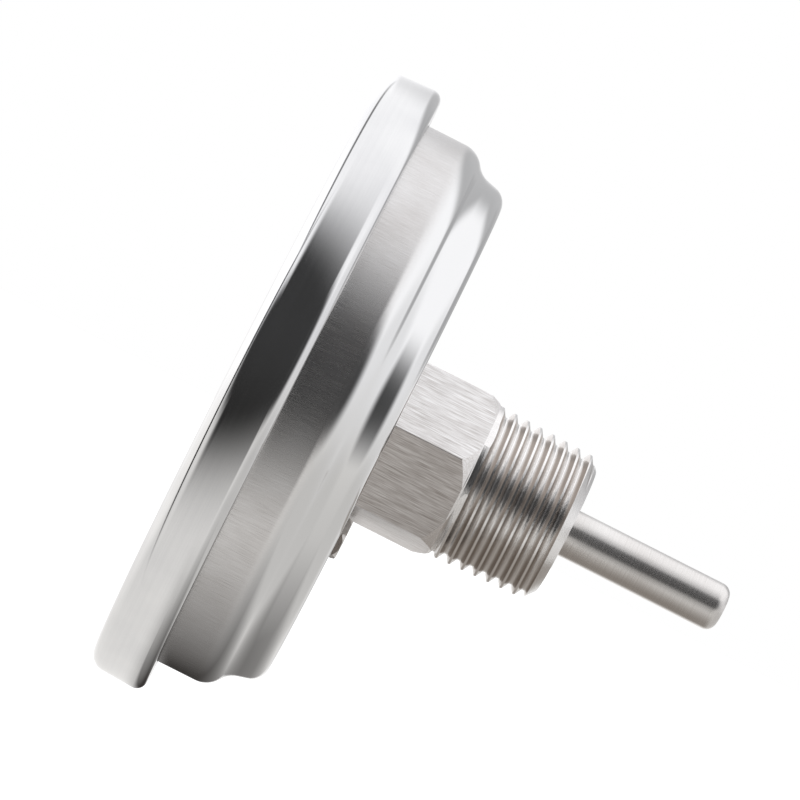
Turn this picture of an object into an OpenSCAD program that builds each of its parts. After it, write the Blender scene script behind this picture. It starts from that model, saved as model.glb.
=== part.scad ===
// Dial thermometer for a brewing kettle: a crimped steel case with a back connection, a bimetal stem,
// and a dial that a hexagon screw on the back turns to trim the reading.
// The stem lies along Y: the dial faces -Y, the stem points to +Y and 12 o'clock is +Z.
// The origin is on the axis, where the hexagon ends and the pipe thread begins. Sizes are millimetres.

/* [Case] */
// Outside diameter of the case band
case_od = 76.2; // [70:0.1:84]
// Depth of the case behind the bezel
case_depth = 13; // [12.5:0.1:18]
// Thickness of the case sheet
case_sheet = 0.8; // [0.5:0.05:1]
// Length of the plain band behind the bezel
band_len = 5.3; // [3:0.1:5.8]
// Outside radius of the shoulder behind the band
shoulder_r = 3.4; // [2.4:0.1:3.8]
// Angle through which the shoulder turns
shoulder_turn = 57; // [45:1:60]
// Outside radius of the hollow below the shoulder
hollow_r = 3; // [2:0.1:3.4]
// Draft angle of the step below the hollow
step_draft = 15; // [5:1:20]
// Outside radius of the edge round the case's back
back_edge_r = 2.4; // [1.5:0.1:2.8]

/* [Bezel and window] */
// How far the bezel stands out from the case band
rim_width = 4.4; // [3.5:0.1:6]
// Depth of the bezel from front to back
bezel_depth = 7.8; // [7:0.1:12]
// Thickness of the bezel sheet
bezel_sheet = 0.9; // [0.8:0.05:1.1]
// Draft angle of the bezel's wall, wider at the back
bezel_draft = 1.5; // [0:0.1:3]
// Outside radius of the bezel's front edge
bezel_front_r = 2.2; // [1.4:0.1:2.3]
// Outside radius of the bezel's back edge
bezel_back_r = 1.4; // [1.2:0.1:1.8]
// Width of the lip in front of the window
lip_width = 6; // [5:0.1:8]
// Thickness of the window
window_thick = 3; // [2:0.1:4]

/* [Fitting] */
// Size of the hexagon across its flats
hex_af = 20.64; // [20:0.01:20.9]
// Length of the hexagon from the case to the thread
hex_len = 11.6; // [8:0.1:16]
// Turn of the hexagon's first corner, below the 3 o'clock line
hex_turn = -11; // [-13:1:13]
// Distance from the thread back to where the corner chamfer starts
hex_chamfer_len = 2; // [1.9:0.1:3]
// Angle of the corner chamfer to the axis
hex_chamfer_angle = 38; // [30:1:45]
// Outside diameter of the thread where it starts
thread_od = 21.1; // [21:0.05:21.4]
// Length of the threaded end
thread_len = 14.3; // [10:0.1:20]
// Length of the lead chamfer on the threaded end
thread_lead = 1.3; // [0.8:0.1:2]
// Diameter of the spigot through the case's back
spigot_d = 14; // [13.5:0.1:15]
// Diameter of the journal that the dial gear turns on
journal_d = 9; // [8.4:0.1:10]

/* [Stem] */
// Outside diameter of the stem
stem_d = 6.35; // [6:0.05:6.8]
// Wall thickness of the stem
stem_wall = 0.6; // [0.5:0.05:0.8]
// Length of the stem beyond the thread
stem_len = 22.4; // [21:0.1:60]
// Radius of the edge round the stem's tip
stem_tip_r = 1.4; // [0.5:0.1:1.8]

/* [Dial and pointer] */
// Space between the dial and the case wall
dial_gap = 0.7; // [0.4:0.1:2]
// Thickness of the dial
dial_thick = 0.6; // [0.4:0.05:1]
// Distance from the window back to the dial
dial_recess = 2.9; // [2.6:0.1:4]
// Distance from the pointer's tip to the dial's edge
pointer_gap = 7.5; // [3:0.1:12]
// Width of the pointer at its hub
pointer_width = 2.4; // [1.6:0.1:3]
// Width of the pointer at its tip
pointer_tip = 0.7; // [0.4:0.1:1.2]
// Thickness of the pointer
pointer_thick = 0.35; // [0.25:0.05:0.5]
// Distance from the axis to the pointer's counterweight
tail_len = 12; // [10:0.1:15]
// Diameter of the spindle
spindle_d = 1.5; // [1.2:0.1:1.8]

/* [Bimetal] */
// Length of the wound strip
helix_len = 20; // [14:0.1:22]
// Outside diameter of the wound strip
helix_d = 4.2; // [3.6:0.1:4.4]
// Width of the strip along the axis
strip_width = 1.6; // [1:0.1:1.8]
// Thickness of the strip
strip_thick = 0.3; // [0.2:0.05:0.4]
// Number of turns in the strip
helix_turns = 8; // [5:1:8]

/* [Adjuster] */
// Tooth module of the dial gear and the pinion
gear_module = 0.51; // [0.51:0.01:0.56]
// Teeth that a full dial gear would have
gear_teeth = 42; // [42:1:46]
// Teeth on the pinion
pinion_teeth = 12; // [12:1:16]
// Tooth spaces cut in the dial gear
gear_spaces = 11; // [9:2:17]
// Thickness of the dial gear
gear_thick = 1.2; // [0.8:0.1:1.6]
// Size of the adjusting screw's head across its flats
screw_af = 5.2; // [4.5:0.1:5.4]
// Height of the adjusting screw's head
screw_head = 1.15; // [1:0.05:2.2]
// Turn of the screw head's first corner, below the 3 o'clock line
screw_turn = -11; // [-30:1:30]
// Diameter of the adjusting screw's shank
screw_d = 3; // [2.6:0.1:3.2]

/* [Hidden] */
$fn = 96;

// Clearances
run_gap = 0.05;
press_gap = 0.03;
seat_gap = 0.2;
joint_gap = 0.1;
cut_over = 1;

// Finishes
steel = "silver";
brushed_steel = "gainsboro";
brass = "goldenrod";
spring_steel = "slategray";
rubber = "dimgray";

// Case and bezel
case_r = case_od / 2;
case_back = -hex_len;
case_inside = case_back - case_sheet;
bezel_back = case_back - case_depth;
bezel_front = bezel_back - bezel_depth;
bezel_r = case_r + rim_width;
bezel_face_r = bezel_r - bezel_depth * tan(bezel_draft);
bezel_bore_r = bezel_face_r - bezel_sheet;
seat_r = bezel_bore_r - seat_gap;
lip_r = bezel_r - lip_width;
flange_back = bezel_back - bezel_sheet;
flange_front = flange_back - case_sheet;
flange_bend_r = 1;
window_front = bezel_front + bezel_sheet;
window_back = window_front + window_thick;
window_bevel = 0.3;
spigot_hole_r = spigot_d / 2 + press_gap;

// Fitting, from the case forward
seal_thick = 0.8;
seal_width = 2;
nut_thick = 2;
nut_wall = 2.2;
nut_af = spigot_d + 2 * nut_wall;
spigot_over = 0.3;
seal_front = case_inside - seal_thick;
nut_front = seal_front - nut_thick;
spigot_end = nut_front - spigot_over;
spring_height = 0.7;
spring_thick = 0.3;
spring_width = 1.5;
gear_back = spigot_end - spring_height;
gear_front = gear_back - gear_thick;
gear_hub_height = 0.8;
gear_hub_wall = 1.5;
gear_hub_r = journal_d / 2 + gear_hub_wall;
gear_hub_front = gear_front - gear_hub_height;
circlip_thick = 0.7;
circlip_width = 1.8;
circlip_opening = 4;
circlip_back = gear_hub_front - run_gap;
circlip_front = circlip_back - circlip_thick;
groove_depth = 0.5;
groove_r = journal_d / 2 - groove_depth;
journal_over = 0.7;
journal_end = circlip_front - journal_over;

// Fitting, from the case to the thread's end
hex_corner_r = hex_af / 2 / cos(30);
thread_taper = 1 / 32;
thread_start_r = thread_od / 2;
chamfer_end = -hex_chamfer_len + (hex_corner_r - thread_start_r) / tan(hex_chamfer_angle);
flat_runout = 0.8;
lead_start = thread_len - thread_lead;
lead_depth = 1.6;
thread_lead_r = thread_start_r - lead_start * thread_taper;

// Stem, bushes and bimetal
stem_r = stem_d / 2;
stem_bore_r = stem_r - stem_wall;
neck_depth = 0.2;
neck_r = stem_r - neck_depth;
stem_tip = thread_len + stem_len;
stem_end_wall = 1.5;
stem_floor = stem_tip - stem_end_wall;
bush_r = stem_bore_r - press_gap;
bush_bore_r = spindle_d / 2 + run_gap;
bush_len = 3;
bush_flange_inset = 0.3;
bush_flange_r = journal_d / 2 - bush_flange_inset;
bush_flange_thick = 0.6;
anchor_len = 2.1;
anchor_front = stem_floor - anchor_len;
helix_back = anchor_front - joint_gap;
helix_front = helix_back - helix_len;
collar_len = 1.4;
collar_back = helix_front - joint_gap;
collar_front = collar_back - collar_len;
collar_r = helix_d / 2;
lower_bush_back = collar_front - joint_gap;

// Dial and pointer
dial_r = case_r - case_sheet - dial_gap;
dial_front = window_back + dial_recess;
dial_back = dial_front + dial_thick;
dial_hole_r = 2.4;
pillar_count = 3;
pillar_ring_r = 8;
pillar_r = 1.6;
pillar_first = -90;
rivet_r = 0.8;
rivet_head_r = 1.2;
rivet_head_height = 0.35;
dial_screw_r = 0.7;
dial_screw_len = 3;
dial_screw_head_r = 1.3;
dial_screw_head_height = 0.6;
dial_screw_slot = 0.4;
dial_screw_slot_depth = 0.3;
hub_flange_r = 2.6;
hub_neck_r = 1.5;
hub_head_r = 2.1;
hub_clear = 0.5;
hub_flange_height = 0.6;
hub_head_height = 0.75;
hub_back = dial_front - hub_clear;
pointer_back = hub_back - hub_flange_height;
pointer_front = pointer_back - pointer_thick;
hub_front = pointer_front - hub_head_height;
pointer_len = dial_r - pointer_gap;

// The counterweight's disc balances the tapering blade, less the bar that carries the disc
blade_moment = pow(pointer_len, 2) * (pointer_width / 2 + (pointer_tip - pointer_width) / 3);
bar_moment = pointer_width * pow(tail_len, 2) / 2;
tail_disc_r = sqrt((blade_moment - bar_moment) / (PI * tail_len) + pow(pointer_width, 2) / 4);

// Adjuster
pressure_angle = 25;
backlash = 0.16;
flank_steps = 4;
gear_pitch_r = gear_module * gear_teeth / 2;
pinion_pitch_r = gear_module * pinion_teeth / 2;
adjuster_offset = gear_pitch_r + pinion_pitch_r;
mesh_over = 0.4;
pinion_back = gear_back + mesh_over;
pinion_front = gear_front - mesh_over;
pinion_hub_wall = 0.9;
pinion_hub_r = screw_d / 2 + pinion_hub_wall;
adjuster_bush_wall = 1;
adjuster_bush_r = screw_d / 2 + adjuster_bush_wall;
adjuster_flange_width = 1.2;
adjuster_flange_r = adjuster_bush_r + adjuster_flange_width;
adjuster_flange_thick = 1.8;
adjuster_bush_front = case_inside - adjuster_flange_thick;
ring_section_r = 0.4;
seal_pocket_depth = 2 * ring_section_r + joint_gap;
seal_pocket_r = screw_d / 2 + 2 * ring_section_r + 2 * press_gap;
pinion_hub_end = adjuster_bush_front - run_gap;
screw_clip_thick = 0.5;
screw_clip_width = 1.3;
screw_clip_opening = 2;
screw_groove_depth = 0.35;
screw_groove_r = screw_d / 2 - screw_groove_depth;
screw_clip_front = pinion_front - screw_clip_thick;
screw_over = 0.5;
screw_end = screw_clip_front - screw_over;
screw_corner_r = screw_af / 2 / cos(30);
screw_bevel = 0.55;

// Points and angles
function polar(r, angle) = r * [cos(angle), sin(angle)];
function arc(centre, r, from, to, steps = 8) =
    [for (i = [0:steps]) centre + polar(r, from + (to - from) * i / steps)];
function reversed(points) = [for (i = [len(points) - 1:-1:0]) points[i]];
function ring(inner_r, outer_r, front, back) =
    [[inner_r, front], [outer_r, front], [outer_r, back], [inner_r, back]];

// Drawn wall of the case from the band to its flat back, inset by the depth below the outside
shoulder_centre = [case_r - shoulder_r, bezel_back + band_len];
hollow_centre = shoulder_centre + polar(shoulder_r + hollow_r, shoulder_turn);
hollow_end = hollow_centre - polar(hollow_r, step_draft);
step_len = (case_back - back_edge_r * (1 - sin(step_draft)) - hollow_end[1]) / cos(step_draft);
back_edge_centre = hollow_end + polar(step_len, step_draft + 90) - polar(back_edge_r, step_draft);
function case_wall(inset) = concat(
    arc(shoulder_centre, shoulder_r - inset, 0, shoulder_turn),
    arc(hollow_centre, hollow_r + inset, shoulder_turn + 180, step_draft + 180),
    arc(back_edge_centre, back_edge_r - inset, step_draft, 90)
);

// Involute teeth: half the angle of a tooth at radius r, thinned by a share of the backlash
function involute(angle) = tan(angle) * 180 / PI - angle;
function base_r(pitch_r) = pitch_r * cos(pressure_angle);
function root_r(pitch_r) = pitch_r - 1.25 * gear_module;
function tip_r(pitch_r) = pitch_r + gear_module;
function tooth_half(r, pitch_r, teeth) =
    90 / teeth - backlash / (4 * pitch_r) * 180 / PI
    + involute(pressure_angle) - involute(acos(min(1, base_r(pitch_r) / r)));
function flank_radii(pitch_r) =
    let (low = max(root_r(pitch_r), base_r(pitch_r)))
    [for (i = [0:flank_steps]) low + (tip_r(pitch_r) - low) * i / flank_steps];

// Stands a shape that was drawn upwards along the stem's axis; 6 o'clock was its +Y
module along_axis() {
    rotate([-90, 0, 0]) children();
}

// Round piece on the axis, from points of radius and distance along Y
module turned(profile) {
    along_axis() rotate_extrude() polygon(profile);
}

// Flat piece square to the axis, between two distances along Y
module plate(front, back) {
    along_axis() translate([0, 0, front]) linear_extrude(back - front) children();
}

// Places children on the adjusting screw's axis, at 6 o'clock
module at_adjuster() {
    translate([0, 0, -adjuster_offset]) children();
}

// Places children at each dial pillar
module at_pillars() {
    for (i = [0:pillar_count - 1])
        rotate([0, pillar_first + 360 / pillar_count * i, 0]) translate([pillar_ring_r, 0, 0]) children();
}

// Flat retaining ring, open towards 12 o'clock
module open_ring(inner_r, width, opening, front, back) {
    plate(front, back) difference() {
        circle(inner_r + width);
        circle(inner_r);
        translate([-opening / 2, -inner_r - width - cut_over]) square([opening, inner_r + width + cut_over]);
    }
}

// Deep-drawn case with a front flange, a stepped back and holes for the spigot and the adjuster
module case_shell() {
    color(brushed_steel) difference() {
        turned(concat(
            [[seat_r, flange_front], [seat_r, flange_back], [case_r, flange_back]],
            case_wall(0),
            [[spigot_hole_r, case_back], [spigot_hole_r, case_inside]],
            reversed(case_wall(case_sheet)),
            arc([case_r - case_sheet + flange_bend_r, flange_front + flange_bend_r], flange_bend_r, 180, 270)
        ));
        at_adjuster() turned([
            [0, case_inside - cut_over], [adjuster_bush_r + press_gap, case_inside - cut_over],
            [adjuster_bush_r + press_gap, case_back + cut_over], [0, case_back + cut_over]
        ]);
    }
}

// Channel ring that clamps the window, the gasket and the case's flange together
module bezel_ring() {
    lip_edge_r = bezel_sheet / 2;
    front_centre = [bezel_face_r - bezel_front_r, bezel_front + bezel_front_r];
    back_centre = [bezel_r - bezel_back_r, bezel_back - bezel_back_r];
    crimp_r = case_r + seat_gap;
    color(steel) turned(concat(
        arc([lip_r + lip_edge_r, bezel_front + lip_edge_r], lip_edge_r, 90, 270),
        arc(front_centre, bezel_front_r, -90, 0),
        arc(back_centre, bezel_back_r, 0, 90),
        [[crimp_r, bezel_back], [crimp_r, flange_back], [bezel_bore_r, flange_back], [bezel_bore_r, window_front]]
    ));
}

// Flat window with ground edges
module window_glass() {
    color("aliceblue", 0.35) turned([
        [0, window_front], [seat_r - window_bevel, window_front], [seat_r, window_front + window_bevel],
        [seat_r, window_back - window_bevel], [seat_r - window_bevel, window_back], [0, window_back]
    ]);
}

// Rubber ring between the window and the case's flange
module window_gasket() {
    color(rubber) turned(ring(case_r - case_sheet + seat_gap, seat_r, window_back, flange_front));
}

// Hexagon and tapered thread outside the case; spigot and journal inside it
module hex_fitting() {
    bore_r = neck_r + press_gap;
    color(brushed_steel) difference() {
        union() {
            intersection() {
                plate(case_back, flat_runout) rotate(hex_turn) circle(hex_corner_r, $fn = 6);
                turned([
                    [0, case_back], [hex_corner_r + cut_over, case_back],
                    [hex_corner_r + cut_over, -hex_chamfer_len - cut_over / tan(hex_chamfer_angle)],
                    [thread_start_r, chamfer_end], [thread_start_r, 0],
                    [thread_start_r - flat_runout * thread_taper, flat_runout], [0, flat_runout]
                ]);
            }
            turned([
                [0, spigot_end], [spigot_d / 2, spigot_end], [spigot_d / 2, case_back], [0, case_back]
            ]);
            turned([
                [0, flat_runout], [thread_start_r - flat_runout * thread_taper, flat_runout],
                [thread_lead_r, lead_start], [thread_lead_r - lead_depth, thread_len], [0, thread_len]
            ]);
            turned([
                [0, journal_end], [journal_d / 2, journal_end], [journal_d / 2, circlip_front],
                [groove_r, circlip_front], [groove_r, circlip_back], [journal_d / 2, circlip_back],
                [journal_d / 2, spigot_end], [0, spigot_end]
            ]);
        }
        turned([
            [0, journal_end - cut_over], [bore_r, journal_end - cut_over],
            [bore_r, thread_len + cut_over], [0, thread_len + cut_over]
        ]);
    }
}

// Thin tube, necked where the fitting holds it and closed at its rounded tip
module stem_tube() {
    tip_centre = [stem_r - stem_tip_r, stem_tip - stem_tip_r];
    color(steel) turned(concat(
        [[stem_bore_r, journal_end], [neck_r, journal_end], [neck_r, thread_len], [stem_r, thread_len]],
        arc(tip_centre, stem_tip_r, 0, 90),
        [[0, stem_tip], [0, stem_floor], [stem_bore_r, stem_floor]]
    ));
}

// Thin nut on the spigot that holds the case against the hexagon, one flat towards the adjuster
module case_nut() {
    color(brass) plate(nut_front, seal_front) difference() {
        circle(nut_af / 2 / cos(30), $fn = 6);
        circle(spigot_d / 2 + press_gap);
    }
}

// Flat washer that seals the spigot's hole
module back_seal() {
    color(rubber) turned(ring(spigot_hole_r, spigot_hole_r + seal_width, seal_front, case_inside));
}

// Printed dial, drilled for the spindle and the dial screws
module dial_plate() {
    color("white") difference() {
        turned(ring(dial_hole_r, dial_r, dial_front, dial_back));
        at_pillars() turned([
            [0, dial_front - cut_over], [dial_screw_r + press_gap, dial_front - cut_over],
            [dial_screw_r + press_gap, dial_back + cut_over], [0, dial_back + cut_over]
        ]);
    }
}

// Gear blank with teeth only where the pinion reaches; the uncut rim stops the dial at both ends
module dial_gear() {
    pitch = 360 / gear_teeth;
    half_count = (gear_spaces - 1) / 2;
    radii = flank_radii(gear_pitch_r);
    blank_r = tip_r(gear_pitch_r);
    space_half = [for (r = radii) pitch / 2 - tooth_half(r, gear_pitch_r, gear_teeth)];
    side = [for (i = [0:flank_steps]) polar(radii[i], space_half[i])];
    mouth = polar(blank_r + cut_over, space_half[flank_steps]);
    half_space = concat(side, [mouth]);
    other_half = reversed([for (p = half_space) [p[0], -p[1]]]);
    color(brass) difference() {
        union() {
            plate(gear_front, gear_back) difference() {
                circle(blank_r);
                circle(journal_d / 2 + run_gap);
                for (i = [-half_count:half_count])
                    rotate(90 + i * pitch) polygon(concat(half_space, other_half));
            }
            turned(ring(journal_d / 2 + run_gap, gear_hub_r, gear_hub_front, gear_front));
        }
        at_pillars() turned([
            [0, gear_front - cut_over], [rivet_r + press_gap, gear_front - cut_over],
            [rivet_r + press_gap, gear_back + cut_over], [0, gear_back + cut_over]
        ]);
    }
}

// Pillars riveted into the gear and tapped for the dial screws
module dial_pillars() {
    tapped_r = dial_screw_r + press_gap;
    tapped_end = dial_back + dial_screw_len;
    color(brass) at_pillars() turned([
        [0, tapped_end], [tapped_r, tapped_end], [tapped_r, dial_back], [pillar_r, dial_back],
        [pillar_r, gear_front], [rivet_r, gear_front], [rivet_r, gear_back], [rivet_head_r, gear_back],
        [rivet_head_r, gear_back + rivet_head_height], [0, gear_back + rivet_head_height]
    ]);
}

// Slotted screws that hold the dial on its pillars
module dial_screws() {
    head_front = dial_front - dial_screw_head_height;
    color(steel) at_pillars() difference() {
        turned([
            [0, head_front], [dial_screw_head_r, head_front], [dial_screw_head_r, dial_front],
            [dial_screw_r, dial_front], [dial_screw_r, dial_back + dial_screw_len - joint_gap],
            [0, dial_back + dial_screw_len - joint_gap]
        ]);
        plate(head_front - cut_over, head_front + dial_screw_slot_depth)
            square([dial_screw_slot, 2 * dial_screw_head_r + cut_over], center = true);
    }
}

// Coned washer that keeps the dial gear from turning by itself
module dial_spring() {
    inner_r = journal_d / 2 + seat_gap;
    outer_r = inner_r + spring_width;
    raised = gear_back + run_gap;
    color(spring_steel) turned([
        [inner_r, raised], [inner_r, raised + spring_thick], [outer_r, spigot_end],
        [outer_r, spigot_end - spring_thick]
    ]);
}

// Open ring in the journal's groove, in front of the dial gear
module dial_circlip() {
    color(spring_steel)
        open_ring(groove_r + press_gap, circlip_width, circlip_opening, circlip_front, circlip_back);
}

// Tapering blade with a round counterweight, at 9 o'clock as at room temperature
module pointer() {
    color("black") plate(pointer_front, pointer_back) difference() {
        union() {
            polygon([
                [0, -pointer_width / 2], [0, pointer_width / 2],
                [-pointer_len, pointer_tip / 2], [-pointer_len, -pointer_tip / 2]
            ]);
            translate([0, -pointer_width / 2]) square([tail_len, pointer_width]);
            translate([tail_len, 0]) circle(tail_disc_r);
            circle(hub_flange_r);
        }
        circle(hub_neck_r + press_gap);
    }
}

// Turned bush that the pointer is riveted on
module pointer_hub() {
    bore_r = spindle_d / 2 + press_gap;
    color(brass) turned([
        [bore_r, hub_front], [hub_head_r, hub_front], [hub_head_r, pointer_front], [hub_neck_r, pointer_front],
        [hub_neck_r, pointer_back], [hub_flange_r, pointer_back], [hub_flange_r, hub_back], [bore_r, hub_back]
    ]);
}

// Rod that carries the pointer from the end of the bimetal
module spindle() {
    color(steel) turned([
        [0, hub_front], [spindle_d / 2, hub_front], [spindle_d / 2, collar_back], [0, collar_back]
    ]);
}

// Flanged bearing in the stem's front end
module upper_bush() {
    color(brass) turned([
        [bush_bore_r, journal_end - bush_flange_thick], [bush_flange_r, journal_end - bush_flange_thick],
        [bush_flange_r, journal_end], [bush_r, journal_end], [bush_r, journal_end + bush_len],
        [bush_bore_r, journal_end + bush_len]
    ]);
}

// Plain bearing in the stem, just above the bimetal
module lower_bush() {
    color(brass) turned(ring(bush_bore_r, bush_r, lower_bush_back - bush_len, lower_bush_back));
}

// Collar that joins the free end of the bimetal to the spindle
module helix_collar() {
    color(steel) turned(ring(spindle_d / 2 + press_gap, collar_r, collar_front, collar_back));
}

// Flat strip wound on edge in one helix that unwinds as it warms
module bimetal_helix() {
    ring_count = helix_turns * 24;
    rise = (helix_len - strip_width) / ring_count;
    inner_r = helix_d / 2 - strip_thick;
    corners = [for (i = [0:ring_count]) let (angle = i * 15, low = helix_front + i * rise) each [
        [each polar(inner_r, angle), low], [each polar(helix_d / 2, angle), low],
        [each polar(helix_d / 2, angle), low + strip_width], [each polar(inner_r, angle), low + strip_width]
    ]];
    last = 4 * ring_count;
    sides = [for (i = [0:ring_count - 1]) for (k = [0:3]) let (
        a = 4 * i + k, b = 4 * i + (k + 1) % 4
    ) each [[a, b, b + 4], [a, b + 4, a + 4]]];
    caps = [[0, 2, 1], [0, 3, 2], [last, last + 1, last + 2], [last, last + 2, last + 3]];
    turn_gap = rise * 24 - strip_width;
    echo(least_gap_between_turns = turn_gap);
    color("tan") along_axis() polyhedron(corners, concat(sides, caps));
}

// Plug in the stem's tip that holds the fixed end of the bimetal
module helix_anchor() {
    color(steel) turned([[0, anchor_front], [bush_r, anchor_front], [bush_r, stem_floor], [0, stem_floor]]);
}

// Hexagon-headed screw through the case's back, grooved for its clip
module adjuster_screw() {
    head_back = case_back + run_gap + screw_head;
    color(steel) at_adjuster() {
        intersection() {
            plate(case_back + run_gap, head_back) rotate(screw_turn) circle(screw_corner_r, $fn = 6);
            turned([
                [0, case_back], [screw_corner_r + cut_over, case_back],
                [screw_corner_r + cut_over, head_back - screw_bevel],
                [screw_corner_r, head_back - screw_bevel], [screw_af / 2, head_back], [0, head_back]
            ]);
        }
        turned([
            [0, screw_end], [screw_d / 2, screw_end], [screw_d / 2, screw_clip_front],
            [screw_groove_r, screw_clip_front], [screw_groove_r, pinion_front], [screw_d / 2, pinion_front],
            [screw_d / 2, case_back + run_gap], [0, case_back + run_gap]
        ]);
    }
}

// Flanged bush in the case's back, with a pocket for the seal
module adjuster_bush() {
    bore_r = screw_d / 2 + run_gap;
    pocket_floor = adjuster_bush_front + seal_pocket_depth;
    color(brass) at_adjuster() turned([
        [seal_pocket_r, adjuster_bush_front], [adjuster_flange_r, adjuster_bush_front],
        [adjuster_flange_r, case_inside], [adjuster_bush_r, case_inside], [adjuster_bush_r, case_back],
        [bore_r, case_back], [bore_r, pocket_floor], [seal_pocket_r, pocket_floor]
    ]);
}

// Rubber ring round the screw, in the bush's pocket
module adjuster_seal() {
    ring_centre = [screw_d / 2 + press_gap + ring_section_r, adjuster_bush_front + seal_pocket_depth / 2];
    color(rubber) at_adjuster() along_axis() rotate_extrude() translate(ring_centre) circle(ring_section_r);
}

// Pinion on the screw, in mesh with the dial gear at rest
module adjuster_pinion() {
    pitch = 360 / pinion_teeth;
    radii = flank_radii(pinion_pitch_r);
    halves = [for (r = radii) tooth_half(r, pinion_pitch_r, pinion_teeth)];
    foot = root_r(pinion_pitch_r);
    outline = [for (t = [0:pinion_teeth - 1]) let (mid = t * pitch - 90) each concat(
        [polar(foot, mid - halves[0])],
        [for (i = [0:flank_steps]) polar(radii[i], mid - halves[i])],
        [for (i = [flank_steps:-1:0]) polar(radii[i], mid + halves[i])],
        [polar(foot, mid + halves[0])]
    )];
    bore_r = screw_d / 2 + press_gap;
    color(brass) at_adjuster() {
        plate(pinion_front, pinion_back) difference() {
            polygon(outline);
            circle(bore_r);
        }
        turned(ring(bore_r, pinion_hub_r, pinion_back, pinion_hub_end));
    }
}

// Open ring in the screw's groove, in front of the pinion
module adjuster_clip() {
    color(spring_steel) at_adjuster() open_ring(
        screw_groove_r + press_gap, screw_clip_width, screw_clip_opening, screw_clip_front, pinion_front
    );
}

case_shell();
bezel_ring();
window_glass();
window_gasket();
hex_fitting();
stem_tube();
case_nut();
back_seal();
dial_plate();
dial_gear();
dial_pillars();
dial_screws();
dial_spring();
dial_circlip();
pointer();
pointer_hub();
spindle();
upper_bush();
lower_bush();
helix_collar();
bimetal_helix();
helix_anchor();
adjuster_screw();
adjuster_bush();
adjuster_seal();
adjuster_pinion();
adjuster_clip();
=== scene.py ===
"""Dial thermometer: smooth turned metal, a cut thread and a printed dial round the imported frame.

Sizes are millimetres and angles are degrees unless a name or a comment says otherwise. Meshes are metres, in
the frame's own axes: the stem points to +Y, the dial faces -Y and 12 o'clock is +Z.
"""

import functools
import logging
import math
from dataclasses import dataclass, field, replace
from enum import Enum
from typing import Any, Callable, Sequence

import bpy
from mathutils import Matrix, Vector


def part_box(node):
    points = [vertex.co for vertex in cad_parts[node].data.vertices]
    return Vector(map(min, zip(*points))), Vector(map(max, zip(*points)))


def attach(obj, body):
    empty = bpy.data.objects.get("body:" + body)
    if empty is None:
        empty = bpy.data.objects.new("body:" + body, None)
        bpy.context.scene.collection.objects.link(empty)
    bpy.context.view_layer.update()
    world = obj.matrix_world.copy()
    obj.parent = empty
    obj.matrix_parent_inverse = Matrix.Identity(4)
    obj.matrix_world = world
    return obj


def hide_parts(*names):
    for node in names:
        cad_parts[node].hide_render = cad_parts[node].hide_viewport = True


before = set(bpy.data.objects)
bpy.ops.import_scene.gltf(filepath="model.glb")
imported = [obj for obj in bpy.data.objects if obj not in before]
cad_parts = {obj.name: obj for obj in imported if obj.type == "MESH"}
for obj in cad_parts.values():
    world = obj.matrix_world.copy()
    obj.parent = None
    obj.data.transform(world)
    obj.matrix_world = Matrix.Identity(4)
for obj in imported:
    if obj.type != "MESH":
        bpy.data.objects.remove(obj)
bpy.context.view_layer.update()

MM = 0.001
# Steps of a full turn, by the size of what is turned
CASE_STEPS = 256
STEM_STEPS = 128
BORE_STEPS = 96
SCREW_STEPS = 64
HOLE_STEPS = 32
# Distance below which two points are one, in metres
WELD = 0.001 * MM
# How far a cutting tool reaches past what it cuts
PAST = 1.0
# Angles between faces up to which an edge is smooth, on round pieces and on pieces with flats, in radians
SMOOTH_ANGLE = math.radians(32)
FLAT_ANGLE = math.radians(8)

logging.basicConfig(level=logging.INFO, format="%(message)s")
log = logging.getLogger("dial_thermometer")

Point = tuple[float, float]
Piece = bpy.types.Object
Tree = bpy.types.NodeTree
Node = bpy.types.Node
Socket = bpy.types.NodeSocket


class Body(Enum):
    """Bodies of the frame that pieces ride on."""

    CASE = "case"
    DIAL = "dial"
    POINTER = "pointer"
    ADJUSTER = "adjuster"


class Grain(Enum):
    """Ways in which the marks of a metal finish run."""

    ALONG = "along the stem"
    ROUND = "round the stem's axis"
    EVEN = "in no direction"


class Cut(Enum):
    """What one solid does to another."""

    ADD = "UNION"
    TAKE = "DIFFERENCE"
    KEEP = "INTERSECT"


# Measures and outlines


def node_span(node: str, axis: int) -> Point:
    """Lowest and highest place of a CAD node along one axis (0 is X, 1 is Y, 2 is Z), in millimetres."""
    low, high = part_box(node)
    return low[axis] / MM, high[axis] / MM


def node_radius(node: str) -> float:
    """Outside radius of a CAD node that is turned about the stem's axis, in millimetres."""
    return node_span(node, 0)[1]


def arc(centre: Point, radius: float, start: float, end: float, steps: int = 14) -> list[Point]:
    """Points of a round stretch of an outline.

    Args:
        centre: radius and Y place of the arc's centre.
        radius: the arc's radius.
        start: angle of the first point, from the outward direction towards +Y.
        end: angle of the last point.
        steps: number of straight pieces.

    Returns:
        Points of radius and Y place, both ends included.
    """
    angles = [math.radians(start + (end - start) * i / steps) for i in range(steps + 1)]
    return [(centre[0] + radius * math.cos(a), centre[1] + radius * math.sin(a)) for a in angles]


def round_corners(centre: Point, radius: float, count: int, first: float = 0.0) -> list[Point]:
    """Corners of an even polygon or a circle, as X and Z places.

    Args:
        centre: X and Z place of the middle.
        radius: distance from the middle to a corner.
        count: number of corners.
        first: angle of the first corner, from +X towards +Z.

    Returns:
        The corners in order.
    """
    angles = [math.radians(first + 360 * i / count) for i in range(count)]
    return [(centre[0] + radius * math.cos(a), centre[1] + radius * math.sin(a)) for a in angles]


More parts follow.
